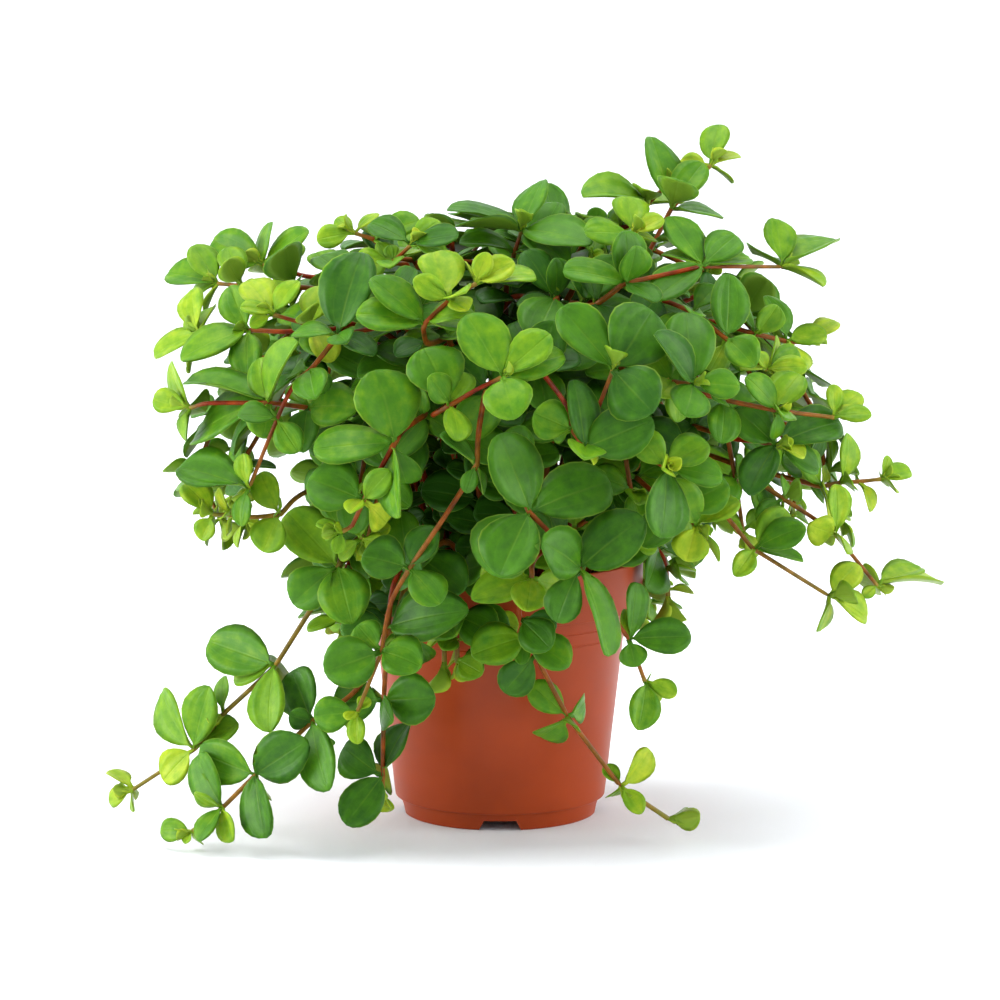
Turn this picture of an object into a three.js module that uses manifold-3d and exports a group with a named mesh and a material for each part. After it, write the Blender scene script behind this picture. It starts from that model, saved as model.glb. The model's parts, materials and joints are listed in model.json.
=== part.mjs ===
// A trailing peperomia in a 12 cm nursery pot: a thin plastic pot, the potting mix that fills it, and
// leafy stems that arch out of the mix. Each stem is one body, its stalk with whorls of thick round
// leaves. Units are millimetres, +Z is up, and the origin is the centre of the pot's foot.
import * as THREE from "three";
import { mergeVertices } from "three/addons/utils/BufferGeometryUtils.js";
import Module from "manifold-3d";

const wasm = await Module();
wasm.setup();

// ---------------------------------------------------------------- driving dimensions
const POT_RIM_HEIGHT = 109;
const COLLAR_RADIUS = 60;
const COLLAR_BOTTOM = 89;
const BODY_TOP_RADIUS = 53.3;
const BODY_BOTTOM_RADIUS = 44.1;
const FOOT_RADIUS = 41.5;
const FOOT_HEIGHT = 7;
const WALL = 1.8;
const FLOOR_UNDERSIDE = 5.5;
const FLOOR_TOP = 8.5;
const PAD_RADIUS = 12;
const NOTCH = { count: 4, bottom: 18.5, top: 13.3, height: 4.2 };
const DRAIN = { count: 6, radius: 4, ring: 26 };
const POT_SIDES = 32;

const SOIL_TOP = 99;
const FIT_GAP = 0.3;
const HOLE_DEPTH = 11;
const ROOT_SLOTS = 76;
const ROOT_REACH = 46;

const STALK_ROOT_RADIUS = 1.5;
const STALK_TIP_RADIUS = 0.9;
const STALK_SIDES = 4;
const STALK_STEP = 12;
const STALK_STRAIGHT = [1.5, 0.8];
const LEAF_HALF_THICKNESS = 0.8;

// The crown is an uneven dome round this centre: half its width, half its depth, its height and its drop.
const CROWN = { x: 8, z: 135, wide: 165, deep: 128, high: 125, low: 90 };

// Leaves and stalks on the front are placed as they appear from here, on the plane through the pot's
// axis, and `seen` slides such a place along the line of sight to its depth (negative is in front).
const EYE = new THREE.Vector3(0, -1779.76, 401.36);

const UPWARD = new THREE.Vector3(0, 0, 1);

// ---------------------------------------------------------------- small tools
let drawSeed = 2024;
function draw(low, high) {
  drawSeed = (drawSeed * 1664525 + 1013904223) % 4294967296;
  return low + (high - low) * (drawSeed / 4294967296);
}

function seen(x, z, depth) {
  const scale = 1 - depth / EYE.y;
  return new THREE.Vector3(x * scale, depth, EYE.z + (z - EYE.z) * scale);
}

function clamp(value, low, high) {
  return Math.min(Math.max(value, low), high);
}

function crownNormal(point) {
  const height = point.z > CROWN.z ? CROWN.high : CROWN.low;
  return new THREE.Vector3(
    (point.x - CROWN.x) / CROWN.wide ** 2,
    point.y / CROWN.deep ** 2,
    (point.z - CROWN.z) / height ** 2
  ).normalize();
}

// The way a leaf at this point grows: out of the crown, and never down.
function leafOutward(point) {
  const normal = crownNormal(point);
  return normal.setZ(Math.max(normal.z, 0.2)).normalize();
}

function sideways(direction, along) {
  return direction.clone().addScaledVector(along, -direction.dot(along)).normalize();
}

function solidOf(vertices, triangles) {
  return new wasm.Manifold(
    new wasm.Mesh({
      numProp: 3,
      vertProperties: new Float32Array(vertices.flatMap((v) => [v.x, v.y, v.z])),
      triVerts: new Uint32Array(triangles.flat()),
    })
  );
}

function solidFromGeometry(geometry) {
  const bare = geometry.clone();
  bare.deleteAttribute("normal");
  bare.deleteAttribute("uv");
  const merged = mergeVertices(bare, 1e-4);
  return new wasm.Manifold(
    new wasm.Mesh({
      numProp: 3,
      vertProperties: new Float32Array(merged.attributes.position.array),
      triVerts: new Uint32Array(merged.index.array),
    })
  );
}

function geometryOf(solid) {
  const mesh = solid.getMesh();
  const geometry = new THREE.BufferGeometry();
  geometry.setAttribute("position", new THREE.BufferAttribute(new Float32Array(mesh.vertProperties), 3));
  geometry.setIndex(new THREE.BufferAttribute(new Uint32Array(mesh.triVerts), 1));
  geometry.computeVertexNormals();
  return geometry;
}

// ---------------------------------------------------------------- the stems that show from the front
// route: [seen x, seen z, depth] from where the stalk comes out of the crown to its tip.
// whorls: [place on the route, then each leaf as [seen x of its tip, seen z of its tip, seen width]].
const frontStems = [
  {
    name: "stem_left_trailer",
    route: [[-65, 111, -72], [-68, 104, -76], [-77, 90, -74], [-85, 76, -70], [-94.5, 62, -66],
      [-110, 47, -60], [-116.5, 41, -58], [-129, 26, -54], [-143, 16, -50], [-155, 8.5, -46]],
    whorls: [
      [1, [-89, 127, 20], [-87, 88, 17], [-62, 79.5, 20]],
      [4, [-122.5, 72, 16], [-110, 84, 13], [-112, 56, 14], [-97, 33, 15]],
      [6, [-115.5, 57.5, 6]],
      [7, [-142, 51, 13], [-122, 53, 15], [-110, 37, 14], [-142, 12, 15]],
      [9, [-166, 16, 6], [-165, 3, 7]],
    ],
  },
  {
    name: "stem_left_low_trailer",
    route: [[-45, 78, -78], [-60, 52, -82], [-79, 38, -82], [-91, 25, -81], [-103, 15, -80],
      [-117, 1, -80], [-130, -9.5, -79]],
    whorls: [
      [2, [-87, 60, 22], [-72, 8, 19], [-92, 42, 15]],
      [4, [-127, 25, 17], [-81, 30, 20], [-98.5, -12.5, 18]],
      [5, [-127.5, 23.5, 17], [-113, -14, 11], [-127.5, -14, 9]],
      [6, [-143.5, -9, 8], [-133.5, -15, 5]],
    ],
  },
  {
    name: "stem_front_long",
    route: [[-7, 173, -108], [-9, 160, -119], [-10, 147, -124], [-20, 130, -124], [-27, 121, -121],
      [-38, 103, -116], [-46, 88, -109], [-50, 67.5, -103], [-54, 55, -100], [-60, 42, -98]],
    whorls: [
      [2, [-14, 135, 6], [-7, 134.5, 6], [-25, 160, 11]],
      [5, [-58, 108, 18], [-27, 121, 13], [-25, 88, 15]],
      [7, [-60, 79, 20], [-74, 59, 20], [-33, 61, 18]],
      [9, [-78.5, 40, 14], [-55, 48, 6], [-60, 28, 8]],
    ],
  },
  {
    name: "stem_front_red",
    route: [[-44, 98, -84], [-47, 78, -85], [-49, 47, -83], [-49.5, 36, -81], [-49.5, 14.5, -78],
      [-49.5, 9, -78]],
    whorls: [
      [1, [-13, 85, 17]],
      [2, [-27, 48, 20], [-70, 46, 18]],
      [4, [-66, 27, 17], [-38, 37, 17], [-65, -7, 17], [-30.5, 1, 13]],
    ],
  },
  {
    name: "stem_front_upper",
    route: [[-40, 162, -110], [-44, 156, -118], [-49, 147, -121], [-57, 132, -121], [-62, 121, -119],
      [-66, 119, -119]],
    whorls: [
      [1, [-52, 187, 26], [-78, 153, 16], [-42, 124.5, 17], [-20, 166, 16]],
      [3, [-80, 141, 22], [-46, 145, 10], [-66, 114, 18]],
      [5, [-77, 122, 5], [-73, 116, 5], [-69, 109.5, 5]],
    ],
  },
  {
    name: "stem_left_arch",
    route: [[-50, 205, -84], [-67, 201, -92], [-78, 188, -98], [-88, 177, -98], [-94, 160, -98],
      [-105, 137, -96]],
    whorls: [
      [1, [-57, 236, 22], [-87, 201, 6], [-52, 193, 9]],
      [5, [-134, 146, 17], [-107, 152, 6], [-108, 121, 8]],
    ],
  },
  {
    name: "stem_left_olive",
    route: [[-84, 134, -80], [-92, 126.5, -86], [-103, 125, -90], [-112, 126, -90], [-120, 126, -88]],
    whorls: [
      [1, [-99, 110, 15], [-100, 144, 12]],
      [3, [-117.5, 137.5, 4], [-107, 135, 4]],
      [4, [-132, 139, 12], [-134, 128.5, 8], [-125, 115, 9]],
    ],
  },
  {
    name: "stem_left_level",
    route: [[-72, 170, -80], [-80, 171, -84], [-96, 173, -88], [-108, 172.5, -85], [-121, 173, -79],
      [-129, 171, -74]],
    whorls: [
      [1, [-59, 171, 18], [-82, 152, 14]],
      [2, [-99, 158, 20], [-100, 192, 12], [-84, 199, 17], [-131, 182, 16], [-128, 157, 13]],
      [5, [-137, 190, 7], [-144.5, 175, 8], [-132, 189, 4]],
    ],
  },
  {
    name: "stem_left_high",
    route: [[-88, 203, -58], [-104, 203.5, -52], [-122, 201, -42], [-125, 202, -38]],
    whorls: [
      [1, [-105, 184, 14], [-133, 191, 8]],
      [3, [-144, 193, 9], [-127, 221, 11], [-140, 214, 7]],
    ],
  },
  {
    name: "stem_left_crown",
    route: [[-92, 220, -20], [-107, 222, -14], [-117, 223, -8]],
    whorls: [
      [1, [-113, 238, 10], [-100, 210, 11]],
      [2, [-138, 227, 13], [-127, 239, 11], [-130, 214, 8]],
    ],
  },
  {
    name: "stem_left_ridge",
    route: [[-80, 226, -12], [-90, 229, -8], [-98, 231, -4]],
    whorls: [
      [1, [-83, 240, 10], [-88, 216, 12]],
      [2, [-119, 241, 14], [-79, 245, 5]],
    ],
  },
  {
    name: "stem_left_bright",
    route: [[-70, 204, -70], [-78, 205.5, -73], [-90, 208.5, -72], [-94, 210, -71]],
    whorls: [
      [1, [-74, 222, 14], [-70, 190, 12]],
      [3, [-105, 224, 14], [-83, 224, 6], [-104, 205, 6], [-108, 213, 4]],
    ],
  },
  {
    name: "stem_top_bright",
    route: [[-30, 198, -85], [-31, 206, -101], [-21, 216, -100], [-12, 220.5, -96], [-10, 223, -96]],
    whorls: [
      [1, [-60, 210, 10], [-54, 225, 9], [-12, 211, 14], [-52, 199, 15]],
      [2, [-28, 236, 18], [-36, 225, 6]],
      [4, [6, 232, 11], [-15, 232, 5], [-5, 236, 8], [15, 226, 4]],
    ],
  },
  {
    name: "stem_front_bright",
    route: [[-28, 168, -102], [-21, 172, -116], [-11, 178, -121], [1, 184, -123]],
    whorls: [
      [1, [-32, 196, 23], [-17, 152, 17]],
      [3, [-14, 210, 20], [21, 202, 12], [27, 193, 14], [6, 166, 24], [12, 193, 3], [3, 196, 4]],
    ],
  },
  {
    name: "stem_mid_upright",
    route: [[36, 160, -98], [40.5, 170, -110], [47, 187, -114]],
    whorls: [
      [2, [25, 213, 18], [63, 212, 26], [64, 169, 24]],
    ],
  },
  {
    name: "stem_mid_bud",
    route: [[19, 184, -98], [27, 173, -110], [30, 162, -115], [35, 154, -118]],
    whorls: [
      [2, [14, 169, 17]],
      [3, [30, 183, 9], [64, 166, 20], [61, 140.5, 10], [43, 163, 8], [37, 173, 8]],
    ],
  },
  {
    name: "stem_right_long",
    route: [[39, 214, -76], [52, 223, -82], [68, 226.5, -76], [84, 230, -66], [100, 230, -52],
      [117, 230, -38]],
    whorls: [
      [1, [26, 228, 11], [38, 231, 5], [66, 229, 6]],
      [3, [70, 251, 13], [98, 243, 15], [104, 233, 8], [67, 235, 8], [84, 253, 8], [64, 216, 14]],
      [5, [114, 250, 13], [140, 241, 9], [129, 242, 7]],
    ],
  },
  {
    name: "stem_right_tall",
    route: [[57, 229, -42], [65, 242, -36], [71, 254, -32], [80, 264, -28], [87, 272, -24]],
    whorls: [
      [2, [62, 284, 14], [84, 273, 12], [60, 275, 4]],
      [4, [91, 289, 12], [99, 276, 5], [74, 273, 5]],
    ],
  },
  {
    name: "stem_top_cluster",
    route: [[4, 226, -30], [6, 236, -36], [9, 245, -38]],
    whorls: [
      [1, [-17, 240, 8], [30, 238, 8]],
      [2, [18, 266, 11], [21, 261, 12], [-22, 254, 6], [-18, 247, 6], [28, 231, 13], [38, 239, 8]],
    ],
  },
  {
    name: "stem_right_shoulder",
    route: [[74, 214, -70], [80, 211, -76], [94, 200, -82], [103, 192, -80], [111, 187, -76]],
    whorls: [
      [1, [66, 195, 14], [90, 222, 10]],
      [2, [95, 227, 16], [120, 212, 9], [106, 188, 14]],
      [4, [115, 201, 4], [124, 195, 8], [128, 188, 8], [107, 194, 6], [100, 187, 6]],
    ],
  },
  {
    name: "stem_right_pink",
    route: [[96, 205, -48], [106, 202, -48], [119, 199, -42], [129, 198, -38]],
    whorls: [
      [1, [92, 219, 12], [100, 186, 12]],
      [2, [110, 218, 9], [132, 208, 14], [136, 202, 5]],
      [3, [140, 207, 4]],
    ],
  },
  {
    name: "stem_right_level",
    route: [[80, 178, -80], [93, 174.5, -90], [115, 170, -90], [139, 167, -78]],
    whorls: [
      [1, [92, 156, 14]],
      [2, [125, 185, 15], [140, 173, 10], [102, 184, 12]],
      [3, [150, 177, 10], [155, 168, 6], [139, 181, 4]],
    ],
  },
  {
    name: "stem_right_broad",
    route: [[98, 158, -72], [107, 157, -82], [115, 155, -87]],
    whorls: [
      [2, [98, 170, 17], [142, 165, 14], [133, 144, 10], [104, 134, 15]],
    ],
  },
  {
    name: "stem_right_inner",
    route: [[60, 184, -90], [72, 182, -104], [80, 181, -107]],
    whorls: [
      [1, [60, 199, 12]],
      [2, [64, 202, 10], [100, 180, 12], [77, 211, 20]],
    ],
  },
  {
    name: "stem_mid_right",
    route: [[58, 152, -96], [69, 146, -114]],
    whorls: [
      [1, [57, 161, 12], [87, 156, 14], [93, 141, 15], [67, 116, 21]],
    ],
  },
  {
    name: "stem_mid_right_low",
    route: [[66, 134, -92], [75, 129, -101], [82, 121, -104]],
    whorls: [
      [1, [60, 112, 15]],
      [2, [72, 141, 13], [100, 132, 11], [78, 106, 17], [92, 106, 5]],
    ],
  },
  {
    name: "stem_right_low",
    route: [[76, 148, -70], [83, 140, -76], [95, 125, -78], [106.5, 111.5, -76], [120, 101.5, -70],
      [138, 91.5, -60]],
    whorls: [
      [3, [120, 128, 14], [128, 121, 13], [127, 107, 6], [98, 100, 9]],
      [5, [150, 105, 5], [154, 82, 11]],
    ],
  },
  {
    name: "stem_right_orange",
    route: [[96, 148, -52], [103.5, 143, -56], [118, 133, -58], [132, 124, -56], [140, 118, -52],
      [145, 111, -48], [158, 96, -40]],
    whorls: [
      [1, [110, 160, 12], [112, 126, 12]],
      [2, [104, 120, 10]],
      [4, [129, 122, 13], [140, 139, 10], [164.5, 121, 12]],
      [6, [177, 103, 9], [185.5, 96.5, 5], [173, 84.5, 5], [152, 91, 4]],
    ],
  },
  {
    name: "stem_right_thin",
    route: [[126, 140, -28], [134, 138, -27], [142, 139.5, -26], [150, 140, -24], [159, 141, -22]],
    whorls: [
      [1, [139, 122, 6], [124, 152, 10]],
      [2, [145, 160.5, 12]],
      [3, [155, 127, 9]],
      [4, [171.5, 144.5, 7], [162, 151, 3]],
    ],
  },
  {
    name: "stem_centre_front",
    route: [[7, 142, -110], [12.5, 127, -124], [24, 115, -124], [33.5, 103, -118], [49, 79, -100],
      [54, 73, -97], [61, 55, -93]],
    whorls: [
      [1, [-1, 160, 26], [0, 100, 24], [46, 140, 24]],
      [3, [15, 119, 20], [60, 125, 22], [45.5, 65.5, 11], [24, 80, 15]],
      [5, [56.5, 97.5, 10], [80.5, 74, 12], [52, 86, 6], [57, 61, 13]],
      [6, [58, 34, 13], [74.5, 49.5, 7], [67, 46, 6]],
    ],
  },
  {
    name: "stem_front_trailer",
    route: [[15, 108, -92], [13, 99, -95], [8, 86, -92], [11, 74, -88], [19.5, 56, -83], [28.5, 40, -79],
      [35, 29, -77], [51, 10, -72], [65, 0, -68], [71, -4, -66]],
    whorls: [
      [1, [-12, 90, 14]],
      [3, [-12, 66, 18], [9, 62, 7], [29, 61, 15], [12, 83, 5]],
      [5, [12, 54, 11], [10, 25, 14]],
      [7, [44, 19, 7], [63, 26, 12], [60, -2, 8]],
    ],
  },
  {
    name: "stem_top_left",
    route: [[-46, 234, -36], [-52, 241, -40], [-60, 244, -40]],
    whorls: [
      [1, [-33, 249, 10], [-42, 226, 11]],
      [2, [-50, 252, 4], [-76, 241, 10], [-68, 250, 4]],
    ],
  },
  {
    name: "stem_top_back",
    route: [[-44, 232, -56], [-37, 239, -58]],
    whorls: [
      [0, [-60, 229, 14]],
      [1, [-25, 249, 9], [-17, 243, 6], [-54, 248, 11], [-22, 234, 9]],
    ],
  },
  {
    name: "stem_top_right",
    route: [[48, 234, -58], [55, 243, -60]],
    whorls: [
      [1, [52, 259, 15], [35, 244, 11], [68, 250, 9], [38, 236, 12]],
    ],
  },
  {
    name: "stem_right_side_shoot",
    route: [[53, 247, -22], [61, 256, -22], [68, 263, -24]],
    whorls: [
      [1, [34, 259, 9], [48, 262, 6]],
      [2, [66, 271, 4], [76, 268, 8]],
    ],
  },
];


// ---------------------------------------------------------------- the stems of the back and the inside
// These follow a rule: each runs down a line of the crown, `layer` of the way out from its centre,
// between two angles from the top, with whorls of three leaves that are smaller towards its tip.
const WHORL_SPACING = 25;
const RULE_WHORL = 3;
const RULE_LEAF_LENGTHS = [12, 19, 25, 28];
const RULE_LEAF_RATIO = 0.8;
const ruleStems = [];
for (let i = 0; i < 9; i += 1) {
  const edge = Math.abs(i - 4);
  const to = i % 2 ? 96 : 118 - 5 * edge;
  const layer = 0.95 - 0.04 * edge;
  ruleStems.push({ name: `stem_back_${i + 1}`, azimuth: 6 + 21 * i, from: 44, to, layer });
}
for (let i = 0; i < 4; i += 1) {
  ruleStems.push({ name: `stem_back_top_${i + 1}`, azimuth: 22 + 44 * i, from: 14, to: 46, layer: 0.87 });
}
for (let i = 0; i < 2; i += 1) {
  const layer = 0.86 - 0.07 * i;
  ruleStems.push({ name: `stem_crown_${i + 1}`, azimuth: 104 - 88 * i, from: -36, to: 34, layer });
}
for (let i = 0; i < 6; i += 1) {
  const from = i % 2 ? 22 : 34;
  ruleStems.push({ name: `stem_inner_${i + 1}`, azimuth: -162 + 29 * i, from, to: 96, layer: 0.72 });
}
for (let i = 0; i < 2; i += 1) {
  const azimuth = 62 + 52 * i;
  ruleStems.push({ name: `stem_back_trailer_${i + 1}`, azimuth, from: 74, to: 142, layer: 0.84 });
}

function crownPoint(azimuth, zenith, layer) {
  const a = THREE.MathUtils.degToRad(azimuth);
  const b = THREE.MathUtils.degToRad(zenith);
  const height = Math.cos(b) > 0 ? CROWN.high : CROWN.low;
  return new THREE.Vector3(
    CROWN.x + layer * CROWN.wide * Math.sin(b) * Math.cos(a),
    layer * CROWN.deep * Math.sin(b) * Math.sin(a),
    CROWN.z + layer * height * Math.cos(b)
  );
}

function ruleRoute(stem) {
  const drift = draw(-9, 9);
  const start = crownPoint(stem.azimuth, stem.from, stem.layer);
  const end = crownPoint(stem.azimuth + drift, stem.to, stem.layer);
  const steps = Math.max(2, Math.round((start.distanceTo(end) * 1.08) / WHORL_SPACING));
  const route = [];
  for (let i = 0; i <= steps; i += 1) {
    const part = i / steps;
    const zenith = stem.from + (stem.to - stem.from) * part;
    route.push(crownPoint(stem.azimuth + drift * part, zenith, stem.layer + draw(-0.03, 0.03)));
  }
  return route;
}

// ---------------------------------------------------------------- where each stalk runs
const INNER_SAMPLE = 2.5;
const INNER_PLACE = -1;
const INNER_LEAF_LENGTH = 24;
const INNER_BENDS = [0, 9, -9, 17, -17, 26, -26];
const INNER_LEANS = [0.35, 0.22, 0.48];
const RULE_SHIFTS = [[1, 0], [1, 6], [1, -6], [0.93, 0], [0.93, 6], [0.93, -6], [1.05, 3], [1, 12], [1, -12]];
const STALK_CLEARANCE = 0.9;

function rootSlot(index) {
  const radius = ROOT_REACH * Math.sqrt((index + 0.5) / ROOT_SLOTS);
  const angle = index * 2.39996;
  return new THREE.Vector3(radius * Math.cos(angle), radius * Math.sin(angle), SOIL_TOP - HOLE_DEPTH);
}

function innerRoute(root, first, bend, lean) {
  const across = first.clone().sub(root);
  const aside = new THREE.Vector3(-across.y, across.x, 0).normalize().multiplyScalar(bend);
  const soilExit = root.clone().setZ(SOIL_TOP + 4);
  const rise = first.z - (SOIL_TOP + 7);
  const low = root.clone().addScaledVector(across, lean).add(aside);
  low.z = Math.max(SOIL_TOP + 7 + 0.62 * rise + 12, 122);
  const high = root.clone().addScaledVector(across, 0.72).add(aside);
  high.z = Math.max(SOIL_TOP + 7 + 0.92 * rise + 8, 117);
  return [soilExit, low, high];
}

// A Catmull-Rom curve through the points, cut into steps of about STALK_STEP.
function smoothThrough(points) {
  const result = [points[0].clone()];
  const marks = [0];
  for (let i = 0; i + 1 < points.length; i += 1) {
    const before = points[Math.max(i - 1, 0)];
    const start = points[i];
    const end = points[i + 1];
    const after = points[Math.min(i + 2, points.length - 1)];
    const steps = Math.max(1, Math.round(start.distanceTo(end) / STALK_STEP));
    for (let k = 1; k <= steps; k += 1) {
      const t = k / steps;
      const point = new THREE.Vector3();
      point.addScaledVector(before, 0.5 * (-t + 2 * t * t - t * t * t));
      point.addScaledVector(start, 0.5 * (2 - 5 * t * t + 3 * t * t * t));
      point.addScaledVector(end, 0.5 * (t + 4 * t * t - 3 * t * t * t));
      point.addScaledVector(after, 0.5 * (-t * t + t * t * t));
      result.push(point);
    }
    marks.push(result.length - 1);
  }
  return { line: result, marks };
}

// Leaves out the points between two kept ones where the stalk is all but straight.
function thinned(line, kept, straight) {
  const result = [];
  const isStraight = (from, to) => {
    const way = line[to].clone().sub(line[from]).normalize();
    for (let i = from + 1; i < to; i += 1) {
      if (line[i].clone().sub(line[from]).cross(way).length() > straight) return false;
    }
    return true;
  };
  let last = 0;
  for (let i = 0; i < line.length; i += 1) {
    const next = i + 1;
    if (i > 0 && next < line.length && !kept.includes(i) && isStraight(last, next)) continue;
    result.push(line[i]);
    last = i;
  }
  return result;
}

function stalkBeads(line) {
  const beads = [];
  let total = 0;
  for (let i = 0; i + 1 < line.length; i += 1) total += line[i].distanceTo(line[i + 1]);
  let run = 0;
  for (let i = 0; i + 1 < line.length; i += 1) {
    const length = line[i].distanceTo(line[i + 1]);
    const steps = Math.max(1, Math.ceil(length / INNER_SAMPLE));
    for (let k = 0; k < steps; k += 1) {
      const centre = line[i].clone().lerp(line[i + 1], k / steps);
      beads.push({ centre, radius: stalkRadius((run + (length * k) / steps) / total) });
    }
    run += length;
  }
  beads.push({ centre: line[line.length - 1].clone(), radius: STALK_TIP_RADIUS });
  return beads;
}

function stalkRadius(part) {
  return STALK_ROOT_RADIUS + (STALK_TIP_RADIUS - STALK_ROOT_RADIUS) * part;
}

function roomAround(beads) {
  const centres = beads.map(({ centre }) => centre);
  return new THREE.Box3().setFromPoints(centres).expandByScalar(2 * STALK_ROOT_RADIUS);
}

function stalksTouch(beads, others) {
  const room = roomAround(beads);
  return others.some((other) => {
    if (!room.intersectsBox(other.box)) return false;
    return beads.some((bead) => {
      if (!other.box.containsPoint(bead.centre)) return false;
      return other.beads.some((mate) => {
        const apart = bead.radius + mate.radius + STALK_CLEARANCE;
        return bead.centre.distanceToSquared(mate.centre) < apart * apart;
      });
    });
  });
}

// ---------------------------------------------------------------- the mesh of a stem
// A stalk is a four-sided tube with a short knot at each whorl. A leaf grows out of one side of its knot.
const KNOT_HALF = 1.1;
const CROWDED_WHORL = 3;

function stalkMesh(stem) {
  const stations = [];
  const knots = new Map();
  const count = stem.line.length;
  const headingAt = (i) =>
    stem.line[Math.min(i + 1, count - 1)].clone().sub(stem.line[Math.max(i - 1, 0)]).normalize();
  const crowd = new Map();
  for (const place of whorlPlaces(stem)) crowd.set(stem.rootOf(place), leavesAt(stem, place));
  stem.line.forEach((centre, i) => {
    const heading = headingAt(i);
    const radius = stalkRadius(i / (count - 1));
    if (!crowd.has(centre)) {
      stations.push({ centre, heading, radius });
      return;
    }
    const parts = crowd.get(centre) > CROWDED_WHORL ? 2 : 1;
    const middle = i === count - 1 ? -parts * KNOT_HALF : 0;
    const facets = [];
    for (let k = -parts; k <= parts; k += 2) {
      const at = centre.clone().addScaledVector(heading, middle + k * KNOT_HALF);
      if (k < parts) facets.push(stations.length);
      stations.push({ centre: at, heading, radius });
    }
    knots.set(centre, facets);
  });
  const vertices = [];
  const triangles = [];
  let side = new THREE.Vector3(1, 0, 0.001);
  for (const { centre, heading, radius } of stations) {
    side = sideways(side, heading);
    const other = heading.clone().cross(side);
    for (let k = 0; k < STALK_SIDES; k += 1) {
      const angle = (k * 2 * Math.PI) / STALK_SIDES;
      const point = centre.clone().addScaledVector(side, radius * Math.cos(angle));
      vertices.push(point.addScaledVector(other, radius * Math.sin(angle)));
    }
  }
  for (let i = 0; i + 1 < stations.length; i += 1) {
    for (let k = 0; k < STALK_SIDES; k += 1) {
      const [a, b, c, d] = facetCorners(i, k);
      triangles.push([a, b, c], [a, c, d]);
    }
  }
  const end = (stations.length - 1) * STALK_SIDES;
  for (let k = 1; k + 1 < STALK_SIDES; k += 1) {
    triangles.push([0, k + 1, k], [end, end + k, end + k + 1]);
  }
  const faces = triangles.map((corners) => faceOf(corners, vertices));
  const tip = { root: stem.line[count - 1], corners: [end, end + 1, end + 2, end + 3] };
  return { vertices, faces, knots, tip, taken: new Set() };
}

function faceOf(corners, vertices) {
  const points = corners.map((i) => vertices[i]);
  return { corners, points, box: new THREE.Box3().setFromPoints(points) };
}

function facetCorners(station, k) {
  const a = station * STALK_SIDES + k;
  const b = station * STALK_SIDES + ((k + 1) % STALK_SIDES);
  return [a, b, b + STALK_SIDES, a + STALK_SIDES];
}

// ---------------------------------------------------------------- laying the stalks
const stems = [];
const takenSlots = new Set();

// The free root slots, the nearest to the way that the stem leaves the pot first.
function slotsInOrder(first) {
  const flat = Math.hypot(first.x, first.y) || 1;
  const wish = ROOT_REACH * clamp(1.15 - (first.z - SOIL_TOP) / 180, 0.15, 1);
  const away = (slot) => Math.hypot(slot.x - (first.x * wish) / flat, slot.y - (first.y * wish) / flat);
  return [...Array(ROOT_SLOTS).keys()]
    .filter((index) => !takenSlots.has(index))
    .sort((a, b) => away(rootSlot(a)) - away(rootSlot(b)));
}

// The numbers of the places on a stem that carry a whorl. A front stem has one more, inside the crown.
function whorlPlaces(stem) {
  return stem.whorls ? [INNER_PLACE, ...stem.whorls.map(([place]) => place)] : [...stem.points.keys()];
}

function leavesAt(stem, place) {
  if (!stem.whorls || place === INNER_PLACE) return RULE_WHORL;
  return stem.whorls.find((whorl) => whorl[0] === place).length - 1;
}

// Every way to lay a stem: its shift in the crown, how finely it is drawn, and how its inner stretch goes.
function* stalkChoices(stem) {
  const centre = new THREE.Vector3(CROWN.x, 0, CROWN.z);
  for (const [sink, turn] of stem.whorls ? [[1, 0]] : RULE_SHIFTS) {
    const angle = THREE.MathUtils.degToRad(turn);
    const points = stem.points.map((point) =>
      point.clone().sub(centre).multiplyScalar(sink).applyAxisAngle(UPWARD, angle).add(centre)
    );
    const order = slotsInOrder(points[0]);
    for (const straight of STALK_STRAIGHT) {
      for (const lean of INNER_LEANS) {
        for (const bend of INNER_BENDS) {
          for (const slot of order) yield { points, straight, lean, bend, slot };
        }
      }
    }
  }
}

// Lays one stalk clear of those before it.
function layStalk(stem) {
  for (const { points, straight, lean, bend, slot } of stalkChoices(stem)) {
    const root = rootSlot(slot);
    const inner = innerRoute(root, points[0], bend, lean);
    const curve = smoothThrough([...inner, ...points]);
    const whole = [root, ...curve.line];
    const marks = curve.marks.slice(inner.length).map((mark) => mark + 1);
    marks[INNER_PLACE] = curve.marks[inner.length - 1] + 1;
    const kept = whorlPlaces(stem).map((place) => marks[place]);
    const line = thinned(whole, [1, ...kept], straight);
    const beads = stalkBeads(line);
    if (stalksTouch(beads, stems)) continue;
    takenSlots.add(slot);
    const rootOf = (place) => whole[marks[place]];
    const laid = { ...stem, points, root, line, beads, rootOf, box: roomAround(beads), leaves: [] };
    laid.mesh = stalkMesh(laid);
    return laid;
  }
  throw new Error(`${stem.name} crosses another stalk from every root`);
}

for (const stem of frontStems) stems.push(layStalk({ ...stem, points: stem.route.map((p) => seen(...p)) }));
for (const stem of ruleStems) stems.push(layStalk({ ...stem, points: ruleRoute(stem) }));

// ---------------------------------------------------------------- a leaf
// A leaf has its root on the stalk, `along` to its tip, `across` and `up`. Its blade bows along its
// length and its sides lift, and it is widest a little past its middle.
function halfWidth(leaf, part) {
  const petiole = clamp(2.5 / leaf.length, 0.06, 0.2);
  if (part <= petiole) return 0.8;
  const blade = (part - petiole) / (1 - petiole);
  const round = Math.sin(Math.PI * Math.pow(Math.min(blade, 1), 0.85));
  return Math.max((leaf.width / 2) * Math.pow(Math.max(round, 0), 0.6), part > 0.5 ? 0 : 0.8);
}

function bladeLift(leaf, part, v) {
  return 4 * leaf.bow * leaf.length * part * (1 - part) + (leaf.cup * v * v) / (leaf.width / 2);
}

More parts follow.
